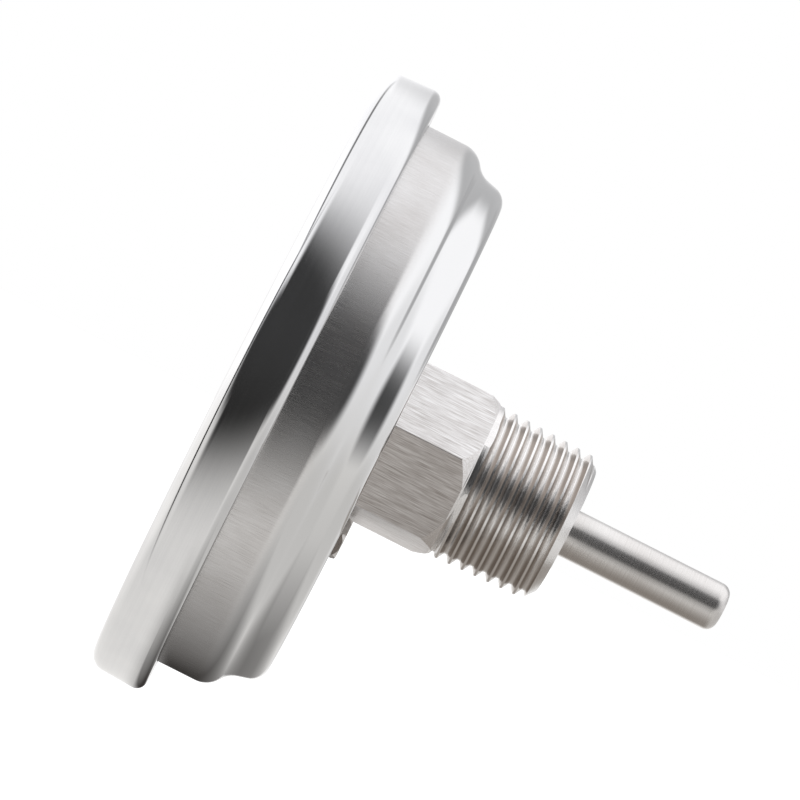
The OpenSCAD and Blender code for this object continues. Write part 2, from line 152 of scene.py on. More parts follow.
def dial_place(radius: float, degrees: float, y: float) -> Vector:
    """Point on the dial, in metres, at an angle clockwise from 12 o'clock as the reader sees it."""
    angle = math.radians(degrees)
    return Vector((radius * math.sin(angle), y, radius * math.cos(angle))) * MM


# Modelling steps


def deselect() -> None:
    """Goes to object mode with nothing selected."""
    if bpy.context.mode != "OBJECT":
        bpy.ops.object.mode_set(mode="OBJECT")
    bpy.ops.object.select_all(action="DESELECT")


def pick(piece: Piece) -> None:
    """Makes one piece the only selected and active object.

    Args:
        piece: the object to select.
    """
    deselect()
    piece.select_set(True)
    bpy.context.view_layer.objects.active = piece


def edit_all(piece: Piece) -> None:
    """Goes to edit mode with the whole mesh of one piece selected.

    Args:
        piece: the object to edit.
    """
    pick(piece)
    bpy.ops.object.mode_set(mode="EDIT")
    bpy.ops.mesh.select_all(action="SELECT")


def draw_line(name: str, points: Sequence[Vector], closed: bool) -> Piece:
    """Draws a line by extruding one point from place to place, and leaves it selected in edit mode.

    Args:
        name: the new object's name.
        points: places of the line's points, in metres.
        closed: whether the line goes back to its first point.

    Returns:
        The new object, in edit mode.
    """
    deselect()
    bpy.ops.mesh.primitive_plane_add(size=MM, enter_editmode=True)
    piece = bpy.context.object
    piece.name = piece.data.name = name
    bpy.ops.mesh.merge(type="CENTER")
    bpy.ops.transform.translate(value=points[0])
    route = [*points, points[0]] if closed else list(points)
    for here, there in zip(route, route[1:]):
        bpy.ops.mesh.extrude_region_move(TRANSFORM_OT_translate={"value": there - here})
    bpy.ops.mesh.select_all(action="SELECT")
    bpy.ops.mesh.remove_doubles(threshold=WELD)
    return piece


def close_mesh(piece: Piece, angle: float = SMOOTH_ANGLE) -> None:
    """Merges doubles, points the faces outwards and shades the piece smooth.

    Args:
        piece: the object to close.
        angle: angle between faces up to which their edge is smooth, in radians.
    """
    edit_all(piece)
    bpy.ops.mesh.remove_doubles(threshold=WELD)
    bpy.ops.mesh.normals_make_consistent(inside=False)
    bpy.ops.object.mode_set(mode="OBJECT")
    bpy.ops.object.shade_smooth_by_angle(angle=angle)


def turn(name: str, outline: Sequence[Point], steps: int = CASE_STEPS, axis_z: float = 0.0) -> Piece:
    """Turns a solid, as on a lathe, from an outline of radius and Y place.

    Args:
        name: the new object's name.
        outline: points of radius and Y place; it goes back to its first point unless it starts on the axis.
        steps: steps of the spin.
        axis_z: Z place of the turning axis, which runs along Y.

    Returns:
        The turned piece.
    """
    points = [Vector((radius, y, axis_z)) * MM for radius, y in outline]
    piece = draw_line(name, points, closed=outline[0][0] > 0)
    bpy.ops.mesh.spin(steps=steps, angle=math.tau, center=(0, 0, axis_z * MM), axis=(0, 1, 0))
    close_mesh(piece)
    return piece


def plate(name: str, corners: Sequence[Point], front: float, back: float) -> Piece:
    """Cuts a flat piece that stands square to the stem.

    Args:
        name: the new object's name.
        corners: X and Z places of its outline.
        front: Y place of its front.
        back: Y place of its back.

    Returns:
        The plate.
    """
    piece = draw_line(name, [Vector((x, front, z)) * MM for x, z in corners], closed=True)
    bpy.ops.mesh.edge_face_add()
    bpy.ops.mesh.extrude_region_move(TRANSFORM_OT_translate={"value": (0, (back - front) * MM, 0)})
    close_mesh(piece)
    return piece


def finish_with(piece: Piece, kind: str, **settings: Any) -> None:
    """Adds one modifier and applies it.

    Args:
        piece: the object that takes it.
        kind: Blender's name of the modifier.
        settings: the modifier's own settings.
    """
    pick(piece)
    modifier = piece.modifiers.new(kind.lower(), kind)
    for name, value in settings.items():
        setattr(modifier, name, value)
    bpy.ops.object.modifier_apply(modifier=modifier.name)


def break_edges(piece: Piece, width: float, segments: int = 3) -> None:
    """Rounds the sharp edges of a piece.

    Args:
        piece: the object to round.
        width: width of the rounded edges.
        segments: straight pieces across an edge.
    """
    finish_with(piece, "BEVEL", width=width * MM, segments=segments, limit_method="ANGLE")


def combine(piece: Piece, tool: Piece, cut: Cut) -> None:
    """Adds a tool to a piece, takes it away or keeps what they share, and uses the tool up.

    Args:
        piece: the object that changes.
        tool: the object that changes it.
        cut: what the tool does.
    """
    finish_with(piece, "BOOLEAN", object=tool, operation=cut.value, solver="EXACT")
    mesh = tool.data
    bpy.data.objects.remove(tool)
    bpy.data.meshes.remove(mesh)
    close_mesh(piece)


def join(pieces: Sequence[Piece]) -> Piece:
    """Joins several meshes into the first one.

    Args:
        pieces: the objects to join.

    Returns:
        The first of them.
    """
    pick(pieces[0])
    for piece in pieces[1:]:
        piece.select_set(True)
    bpy.ops.object.join()
    return pieces[0]


def slice_off(piece: Piece, y: float, keep_front: bool) -> None:
    """Cuts a piece square to the stem and closes the cut.

    Args:
        piece: the object to cut.
        y: Y place of the cut.
        keep_front: whether the side towards -Y stays.
    """
    edit_all(piece)
    bpy.ops.mesh.bisect(
        plane_co=(0, y * MM, 0), plane_no=(0, 1, 0), use_fill=True, clear_outer=keep_front,
        clear_inner=not keep_front, threshold=WELD / 10,
    )
    close_mesh(piece)


def set_radius(piece: Piece, rule: Callable[[float, float], float]) -> None:
    """Moves every point of a mesh towards or away from the stem's axis.

    Args:
        piece: the object to shape.
        rule: gives a point's new radius from its radius and Y place.
    """
    for vertex in piece.data.vertices:
        x, y, z = vertex.co / MM
        radius = math.hypot(x, z)
        scale = rule(radius, y) / radius
        vertex.co = Vector((x * scale, y, z * scale)) * MM


# Finishes


def linear(code: str) -> tuple[float, float, float, float]:
    """Turns an sRGB hex colour into linear light.

    Args:
        code: the colour, such as #C8C6C3.

    Returns:
        Red, green, blue and alpha.
    """
    shares = [int(code[i:i + 2], 16) / 255 for i in (1, 3, 5)]
    red, green, blue = (c / 12.92 if c <= 0.04045 else ((c + 0.055) / 1.055) ** 2.4 for c in shares)
    return red, green, blue, 1.0


def add_node(tree: Tree, kind: str, inputs: dict[Any, Any] | None = None, **settings: Any) -> Node:
    """Adds one node with its settings and links.

    Args:
        tree: node tree that takes the node.
        kind: Blender's name of the node type, without ShaderNode before it.
        inputs: for each socket, by name or number, a value, a socket to link or a node whose first output
            is linked.
        settings: the node's own properties.

    Returns:
        The new node.
    """
    node = tree.nodes.new(f"ShaderNode{kind}")
    for name, value in settings.items():
        setattr(node, name, value)
    for socket, value in (inputs or {}).items():
        source = value.outputs[0] if isinstance(value, Node) else value
        if isinstance(source, Socket):
            tree.links.new(source, node.inputs[socket])
        else:
            node.inputs[socket].default_value = source
    return node


def new_material(name: str, surface: Callable[[Tree], Node]) -> bpy.types.Material:
    """Makes a material.

    Args:
        name: the material's name.
        surface: adds the material's nodes to its tree and returns the shader.

    Returns:
        The new material.
    """
    material = bpy.data.materials.new(name)
    material.use_nodes = True
    tree = material.node_tree
    tree.nodes.clear()
    add_node(tree, "OutputMaterial", {"Surface": surface(tree)})
    return material


# Stretches of a noise over which it stains metal, roughens metal, shades a coat and smears glass
STAIN_SPAN = {"From Min": 0.35, "From Max": 0.7}
ROUGH_SPAN = {"From Min": 0.3, "From Max": 0.7}
SHADE_SPAN = {"From Min": 0.3, "From Max": 0.75}
SMEAR_SPAN = {"From Min": 0.45, "From Max": 0.8}
# Length of a brush mark, as a multiple of the distance between marks
LINE_LENGTH = 40.0
# Share of a full turn by which highlights are turned where the marks run round the axis
QUARTER_TURN = 0.25


@dataclass(frozen=True)
class Finish:
    """Surface of a piece.

    Attributes:
        name: the finish's name.
        slot: its slot in the record.
    """

    name: str
    slot: str

    def shader(self, tree: Tree) -> Node:
        """Adds the finish's nodes and returns its shader; each kind of finish has its own."""
        raise NotImplementedError

    @functools.cache
    def make(self) -> bpy.types.Material:
        """Makes the material; later calls give the same one."""
        return new_material(self.name, self.shader)


@dataclass(frozen=True)
class MetalFinish(Finish):
    """Bare metal whose surface keeps the marks of how it was made.

    Attributes:
        colour: sRGB colour of the clean metal.
        stain: sRGB colour of its duller patches and marks.
        roughness: mean roughness.
        grain: the way its marks run.
        spacing: distance between marks.
        depth: height of the marks.
        scatter: how far the marks change the roughness, up and down.
        contrast: how far the marks change the colour, from 0 to 1.
        patch: size of the duller patches.
        stretch: how far a highlight is drawn out across the marks, from 0 to 1.
        polish: the finish that the marks give way to, or None.
        polished_from: Y places between which they do so.
    """

    colour: str
    stain: str
    roughness: float
    grain: Grain
    spacing: float
    depth: float
    scatter: float = 0.05
    contrast: float = 0.3
    patch: float = 9.0
    stretch: float = 0.0
    polish: "MetalFinish | None" = None
    polished_from: Point = (0.0, 0.0)

    def marks(self, tree: Tree, place: Socket) -> Node:
        """Noise drawn out the way that the marks run.

        Args:
            tree: the material's node tree.
            place: Object coordinates.

        Returns:
            Node that gives the heights of the marks, from 0 to 1.
        """
        fine = 1 / (self.spacing * MM)
        along = fine / LINE_LENGTH if self.grain is Grain.ALONG else fine
        vector = add_node(tree, "Mapping", {"Vector": place, "Scale": (fine, along, fine)})
        if self.grain is Grain.ROUND:
            flat = add_node(tree, "VectorMath", {0: vector, 1: (1, 0, 1)}, operation="MULTIPLY")
            radius = add_node(tree, "VectorMath", {0: flat}, operation="LENGTH").outputs["Value"]
            apart = add_node(tree, "SeparateXYZ", {0: vector})
            vector = add_node(tree, "CombineXYZ", {0: radius, 1: apart.outputs["Y"]})
        return add_node(tree, "TexNoise", {"Vector": vector, "Scale": 1.0, "Detail": 3.0, "Roughness": 0.6})

    def shader(self, tree: Tree) -> Node:
        """Adds the marks, the duller patches and the metal.

        Args:
            tree: the material's node tree.

        Returns:
            The shader.
        """
        place = add_node(tree, "TexCoord").outputs["Object"]
        marks = self.marks(tree, place)
        patches = add_node(tree, "TexNoise", {"Vector": place, "Scale": 1 / (self.patch * MM), "Detail": 4.0})
        dull = add_node(tree, "Mix", {0: self.contrast, 2: patches, 3: marks})
        share = add_node(tree, "MapRange", {"Value": dull, **STAIN_SPAN})
        ends = {0: share, 6: linear(self.colour), 7: linear(self.stain)}
        colour = add_node(tree, "Mix", ends, data_type="RGBA").outputs[2]
        low, high = self.roughness - self.scatter, self.roughness + self.scatter
        roughness = add_node(tree, "MapRange", {"Value": marks, **ROUGH_SPAN, "To Min": low, "To Max": high})
        strength: Any = 1.0
        if self.polish:
            start, end = (y * MM for y in self.polished_from)
            apart = add_node(tree, "SeparateXYZ", {0: place})
            stretch = {"From Min": start, "From Max": end, "To Min": 1.0, "To Max": 0.0}
            strength = add_node(
                tree, "MapRange", {"Value": apart.outputs["Y"], **stretch}, interpolation_type="SMOOTHSTEP"
            )
            roughness = add_node(tree, "Mix", {0: strength, 2: self.polish.roughness, 3: roughness})
            ends = {0: strength, 6: linear(self.polish.colour), 7: colour}
            colour = add_node(tree, "Mix", ends, data_type="RGBA").outputs[2]
        relief = add_node(tree, "Bump", {"Strength": strength, "Distance": self.depth * MM, "Height": marks})
        return add_node(
            tree, "BsdfPrincipled",
            {
                "Base Color": colour, "Metallic": 1.0, "Roughness": roughness, "Normal": relief,
                "Anisotropic": self.stretch,
                "Anisotropic Rotation": QUARTER_TURN if self.grain is Grain.ROUND else 0.0,
                "Tangent": add_node(tree, "Tangent", direction_type="RADIAL", axis="Y"),
            },
        )


@dataclass(frozen=True)
class CoatFinish(Finish):
    """Paint, ink, rubber or fibre: a colour that isn't metal, with a grain of its own.

    Attributes:
        colour: sRGB colour.
        shade: sRGB colour of its grain.
        roughness: mean roughness.
        grain_size: size of the grain.
        depth: height of the grain.
        sheen: specular level of the surface.
        scatter: how far the grain changes the roughness, up and down.
    """

    colour: str
    shade: str
    roughness: float
    grain_size: float
    depth: float
    sheen: float = 0.5
    scatter: float = 0.08

    def shader(self, tree: Tree) -> Node:
        """Adds the grain and the coat.

        Args:
            tree: the material's node tree.

        Returns:
            The shader.
        """
        place = add_node(tree, "TexCoord").outputs["Object"]
        grain = add_node(
            tree, "TexNoise",
            {"Vector": place, "Scale": 1 / (self.grain_size * MM), "Detail": 4.0, "Roughness": 0.55},
        )
        share = add_node(tree, "MapRange", {"Value": grain, **SHADE_SPAN})
        ends = {0: share, 6: linear(self.colour), 7: linear(self.shade)}
        colour = add_node(tree, "Mix", ends, data_type="RGBA").outputs[2]
        low, high = self.roughness - self.scatter, self.roughness + self.scatter
        roughness = add_node(tree, "MapRange", {"Value": grain, "To Min": low, "To Max": high})
        relief = add_node(tree, "Bump", {"Distance": self.depth * MM, "Height": grain})
        return add_node(
            tree, "BsdfPrincipled",
            {
                "Base Color": colour, "Roughness": roughness, "Specular IOR Level": self.sheen,
                "Normal": relief,
            },
        )


@dataclass(frozen=True)
class GlassFinish(Finish):
    """Clear flat glass that lets the light through to what lies behind it.

    Attributes:
        tint: sRGB colour of the glass.
        ior: index of refraction.
        smear: size of the faint smears on it.
        smeared: roughness of a smear.
    """

    tint: str
    ior: float
    smear: float
    smeared: float = 0.04

    def shader(self, tree: Tree) -> Node:
        """Adds the smears and the glass, which shadow and diffuse rays pass without bending.

        Args:
            tree: the material's node tree.

        Returns:
            The shader.
        """
        place = add_node(tree, "TexCoord").outputs["Object"]
        smears = add_node(tree, "TexNoise", {"Vector": place, "Scale": 1 / (self.smear * MM), "Detail": 5.0})
        roughness = add_node(
            tree, "MapRange", {"Value": smears, **SMEAR_SPAN, "To Min": 0.0, "To Max": self.smeared}
        )
        tint = linear(self.tint)
        glass = add_node(
            tree, "BsdfPrincipled",
            {"Base Color": tint, "Roughness": roughness, "IOR": self.ior, "Transmission Weight": 1.0},
        )
        clear = add_node(tree, "BsdfTransparent", {"Color": tint})
        rays = add_node(tree, "LightPath").outputs
        passing = add_node(
            tree, "Math", {0: rays["Is Shadow Ray"], 1: rays["Is Diffuse Ray"]}, operation="MAXIMUM"
        )
        return add_node(tree, "MixShader", {0: passing, 1: glass, 2: clear})


# Stainless sheet, spun to shape and buffed: a mirror with hairlines round the ring. Buffing lines are a few
# hundredths of a millimetre apart; these are drawn coarser so that they show.
POLISHED_STEEL = MetalFinish(
    "buffed_sheet", "polished_steel", "#DDDDDD", "#D2D2D3", 0.09, Grain.ROUND, spacing=0.25, depth=0.0002,
    scatter=0.03,
)
# Deep-drawn stainless sheet: belt-brushed along the axis on its band, polished by the die on its back.
BRUSHED_STEEL = MetalFinish(
    "drawn_sheet", "brushed_steel", "#D6D5D5", "#BEBBB9", 0.24, Grain.ALONG, spacing=0.08, depth=0.0014,
    scatter=0.06, contrast=0.5, stretch=0.5, polish=POLISHED_STEEL, polished_from=(-19.7, -17.7),
)
# Cold-drawn stainless hexagon bar: long draw marks on its flats, duller than sheet.
DRAWN_STEEL = MetalFinish(
    "drawn_bar", "machined_steel", "#FCFBFB", "#C8C3BF", 0.42, Grain.ALONG, spacing=0.09, depth=0.012,
    scatter=0.08, contrast=0.9, stretch=0.6,
)
# The bar's two side flats, painted darker than the others with the same roughness: painted shade on the flat
# that faces the camera and on the one opposite it.
SHADED_SIDE_STEEL = replace(DRAWN_STEEL, name="shaded_side_bar", colour="#E4E0DD", stain="#A89F99")
# The same bar where a die has cut it: crests and roots rubbed bright by the die's lands.
CREST_STEEL = MetalFinish(
    "thread_crest", "machined_steel", "#F0EFEE", "#DAD7D5", 0.17, Grain.EVEN, spacing=0.16, depth=0.016,
    scatter=0.06,
)
# The thread's flanks, with chatter round the axis, painted darker than the crests: painted shade of the
# grooves and of the shadowed ground below the thread.
SHADED_FLANK_STEEL = MetalFinish(
    "thread_flank_shaded", "machined_steel", "#CAC4BF", "#B3ACA6", 0.16, Grain.ROUND, spacing=0.15, depth=0.002,
    scatter=0.06,
)
# The adjusting screw's lower flats, left as the bar was drawn, rougher and painted darker than the upper
# ones: painted shade where they face down.
SHADED_LOWER_STEEL = MetalFinish(
    "shaded_lower_bar", "machined_steel", "#938B85", "#7A726C", 0.38, Grain.ALONG, spacing=0.1, depth=0.002,
    scatter=0.06,
)
# Small turned pieces, tumbled bright: faint marks in no direction.
TUMBLED_STEEL = MetalFinish(
    "tumbled_steel", "machined_steel", "#D8D6D4", "#C4BFBB", 0.2, Grain.EVEN, spacing=0.25, depth=0.0006,
    patch=2.0,
)
# Stainless tube, ground between wheels: satin with fine rings round it.
SATIN_STEEL = MetalFinish(
    "ground_tube", "satin_steel", "#E2E0DE", "#D0CCC9", 0.27, Grain.ROUND, spacing=0.2, depth=0.0002,
    scatter=0.04, stretch=1.0,
)
# Free-cutting brass, turned or stamped, with a thin tarnish.
BRASS = MetalFinish(
    "turned_brass", "brass", "#D9B46A", "#A8813F", 0.25, Grain.ROUND, spacing=0.15, depth=0.001
)
# Tempered spring strip, blue-grey from its heat treatment.
SPRING_STEEL = MetalFinish(
    "tempered_strip", "spring_steel", "#6E7076", "#4B4C52", 0.3, Grain.EVEN, spacing=0.3, depth=0.001
)
# Two rolled alloys bonded in one strip, warm grey with rolling marks.
BIMETAL = MetalFinish(
    "bonded_strip", "bimetal", "#B3A38C", "#8C7C66", 0.35, Grain.ROUND, spacing=0.2, depth=0.001
)
# Float glass, polished on both faces.
WINDOW_GLASS = GlassFinish("float_glass", "window_glass", "#FCFEFD", 1.52, smear=14.0)
# Moulded black rubber with a matt skin.
BLACK_RUBBER = CoatFinish("black_rubber", "black_rubber", "#1E1E1F", "#29292A", 0.75, 0.3, 0.01, sheen=0.3)
# Vulcanised fibre, punched from red sheet.
RED_FIBRE = CoatFinish("red_fibre", "fibre", "#7C342A", "#612720", 0.7, 0.25, 0.008, sheen=0.3)
# White stoving enamel on aluminium: a faint orange peel.
DIAL_ENAMEL = CoatFinish("dial_enamel", "dial_face", "#F3F2EE", "#ECEAE5", 0.42, 0.7, 0.002)
# Screen-printed inks, slightly uneven where the mesh lay.
BLACK_INK = CoatFinish("black_ink", "dial_face", "#17181A", "#242527", 0.55, 0.35, 0.002)
RED_INK = CoatFinish("red_ink", "dial_face", "#B4232A", "#9F1D25", 0.55, 0.35, 0.002)
# Matt black lacquer sprayed on thin aluminium.
POINTER_LACQUER = CoatFinish("pointer_lacquer", "pointer_black", "#121213", "#1C1C1D", 0.5, 0.2, 0.003)

# Finishes of the nodes that stay as the frame has them
KEPT_NODES: dict[Finish, tuple[str, ...]] = {
    BRASS: (
        "case_nut", "dial_gear", "dial_pillars", "upper_bush", "lower_bush", "adjuster_bush",
        "adjuster_pinion",
    ),
    SPRING_STEEL: ("dial_spring", "dial_circlip", "adjuster_clip"),
    TUMBLED_STEEL: ("spindle", "helix_collar", "helix_anchor"),
    BIMETAL: ("bimetal_helix",),
    BLACK_RUBBER: ("adjuster_seal",),
    RED_FIBRE: ("back_seal",),
}


def hand_over(piece: Piece, finish: Finish, body: Body, *nodes: str) -> None:
    """Dresses a finished piece and lets it ride on a body.

    Args:
        piece: the finished piece.
        finish: its finish.
        body: the body that carries it.
        nodes: the CAD nodes that it stands for.
    """
    piece.data.materials.clear()
    piece.data.materials.append(finish.make())
    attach(piece, body.value)
    if nodes:
        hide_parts(*nodes)
    log.info("%s: %d faces, rides on %s", piece.name, len(piece.data.polygons), body.value)


# Sub-assemblies


@dataclass
class CaseAssembly:
    """Drawn case, crimped bezel, window and gasket.

    Attributes:
        case_r: outside radius of the case's band.
        sheet: thickness of the case sheet.
        spigot_hole_r: radius of the hole for the fitting.
        adjuster_hole_r: radius of the hole for the adjuster's bush.
        bezel_sheet: thickness of the bezel sheet.
        band_len: length of the plain band behind the bezel.
        shoulder_r: outside radius of the shoulder behind the band.
        shoulder_turn: angle through which the shoulder turns.
        hollow_r: outside radius of the hollow below the shoulder.
        step_draft: draft of the step below the hollow.
        back_edge_r: outside radius of the edge round the back.
        front_r: outside radius of the bezel's front edge.
        rear_r: outside radius of the bezel's back edge.
        bezel_draft: draft of the bezel's wall.
        lip_r: radius of the opening in front of the window.
        flange_bend_r: radius of the bend between the case's band and its flange.
        window_bevel: width of the window's ground edges.
        seat_gap: clearance round the window and the band.
        bezel_r: outside radius of the bezel.
        seat_r: radius of the window.
        front: Y place of the bezel's front.
        rear: Y place of the bezel's back.
        back: Y place of the case's back.
    """

    case_r: float = 38.1
    sheet: float = 0.8
    spigot_hole_r: float = 7.03
    adjuster_hole_r: float = 2.53
    bezel_sheet: float = 0.9
    band_len: float = 5.3
    shoulder_r: float = 3.4
    shoulder_turn: float = 57.0
    hollow_r: float = 3.0
    step_draft: float = 15.0
    back_edge_r: float = 2.4
    front_r: float = 2.2
    rear_r: float = 1.4
    bezel_draft: float = 1.5
    lip_r: float = 36.5
    flange_bend_r: float = 1.0
    window_bevel: float = 0.3
    seat_gap: float = 0.2
    bezel_r: float = field(init=False)
    seat_r: float = field(init=False)
    front: float = field(init=False)
    rear: float = field(init=False)
    back: float = field(init=False)

    def __post_init__(self) -> None:
        """Takes the main radii and planes from the frame."""
        self.bezel_r = node_radius("bezel_ring")
        self.seat_r = node_radius("window_glass")
        self.front, self.rear = node_span("bezel_ring", 1)
        self.back = node_span("case_shell", 1)[1]

    def wall(self, inset: float) -> list[Point]:
        """Outline of the drawn wall from the band to the flat back.

        Args:
            inset: depth below the outside.

        Returns:
            Points of radius and Y place.
        """
        shoulder = (self.case_r - self.shoulder_r, self.rear + self.band_len)
        turned = math.radians(self.shoulder_turn)
        reach = self.shoulder_r + self.hollow_r
        hollow = (shoulder[0] + reach * math.cos(turned), shoulder[1] + reach * math.sin(turned))
        draft = math.radians(self.step_draft)
        end = (hollow[0] - self.hollow_r * math.cos(draft), hollow[1] - self.hollow_r * math.sin(draft))
        edge_y = self.back - self.back_edge_r
        slope = (edge_y + self.back_edge_r * math.sin(draft) - end[1]) / math.cos(draft)
        edge = (end[0] - slope * math.sin(draft) - self.back_edge_r * math.cos(draft), edge_y)
        return [
            *arc(shoulder, self.shoulder_r - inset, 0, self.shoulder_turn),
            *arc(hollow, self.hollow_r + inset, self.shoulder_turn + 180, self.step_draft + 180),
            *arc(edge, self.back_edge_r - inset, self.step_draft, 90),
        ]

    def build_case(self) -> None:
        """Turns the drawn case and drills it for the fitting and the adjuster."""
        flange_rear = self.rear - self.bezel_sheet
        flange_front = flange_rear - self.sheet
        inside_r = self.case_r - self.sheet
        inside_back = self.back - self.sheet
        bend = (inside_r + self.flange_bend_r, flange_front + self.flange_bend_r)
        outline = [
            (self.seat_r, flange_front), (self.seat_r, flange_rear), (self.case_r, flange_rear),
            *self.wall(0.0), (self.spigot_hole_r, self.back), (self.spigot_hole_r, inside_back),
            *reversed(self.wall(self.sheet)), *arc(bend, self.flange_bend_r, 180, 270),
        ]
        case = turn("case_shell_drawn", outline)
        axis_z = sum(node_span("adjuster_bush", 2)) / 2
        circle = round_corners((0, axis_z), self.adjuster_hole_r, SCREW_STEPS)
        hole = plate("adjuster_hole", circle, inside_back - self.sheet, self.back + self.sheet)
        combine(case, hole, Cut.TAKE)
        hand_over(case, BRUSHED_STEEL, Body.CASE, "case_shell")

    def build_bezel(self) -> None:
        """Turns the crimped bezel with its rounded edges and rolled lip."""
        lip = self.bezel_sheet / 2
        face_r = self.bezel_r - (self.rear - self.front) * math.tan(math.radians(self.bezel_draft))
        bore_r = face_r - self.bezel_sheet
        crimp_r = self.case_r + self.seat_gap
        crimp_front = self.rear - self.bezel_sheet
        outline = [
            *arc((self.lip_r + lip, self.front + lip), lip, 90, 270, steps=10),
            *arc((face_r - self.front_r, self.front + self.front_r), self.front_r, -90, 0),
            *arc((self.bezel_r - self.rear_r, self.rear - self.rear_r), self.rear_r, 0, 90),
            (crimp_r, self.rear), (crimp_r, crimp_front), (bore_r, crimp_front),
            (bore_r, self.front + self.bezel_sheet),
        ]
        hand_over(turn("bezel_ring_polished", outline), POLISHED_STEEL, Body.CASE, "bezel_ring")

    def build_window(self) -> None:
        """Turns the window with its ground edges."""
        front, back = node_span("window_glass", 1)
        rim = self.seat_r - self.window_bevel
        outline = [
            (0, front), (rim, front), (self.seat_r, front + self.window_bevel),
            (self.seat_r, back - self.window_bevel), (rim, back), (0, back),
        ]
        hand_over(turn("window_pane", outline), WINDOW_GLASS, Body.CASE, "window_glass")

    def build_gasket(self) -> None:
        """Turns the gasket behind the window, with a rounded inner edge."""
        front, back = node_span("window_gasket", 1)
        bulge = (back - front) / 6
        inner_r = self.case_r - self.sheet + self.seat_gap + bulge
        outline = [
            (self.seat_r, front), (self.seat_r, back), (inner_r, back),
            *arc((inner_r, back - bulge), bulge, 90, 180, steps=6),
            *arc((inner_r, front + bulge), bulge, 180, 270, steps=6),
        ]
        hand_over(turn("window_gasket_ring", outline), BLACK_RUBBER, Body.CASE, "window_gasket")

    def build(self) -> None:
        """Builds and dresses every piece."""
        self.build_case()
        self.build_bezel()
        self.build_window()
        self.build_gasket()


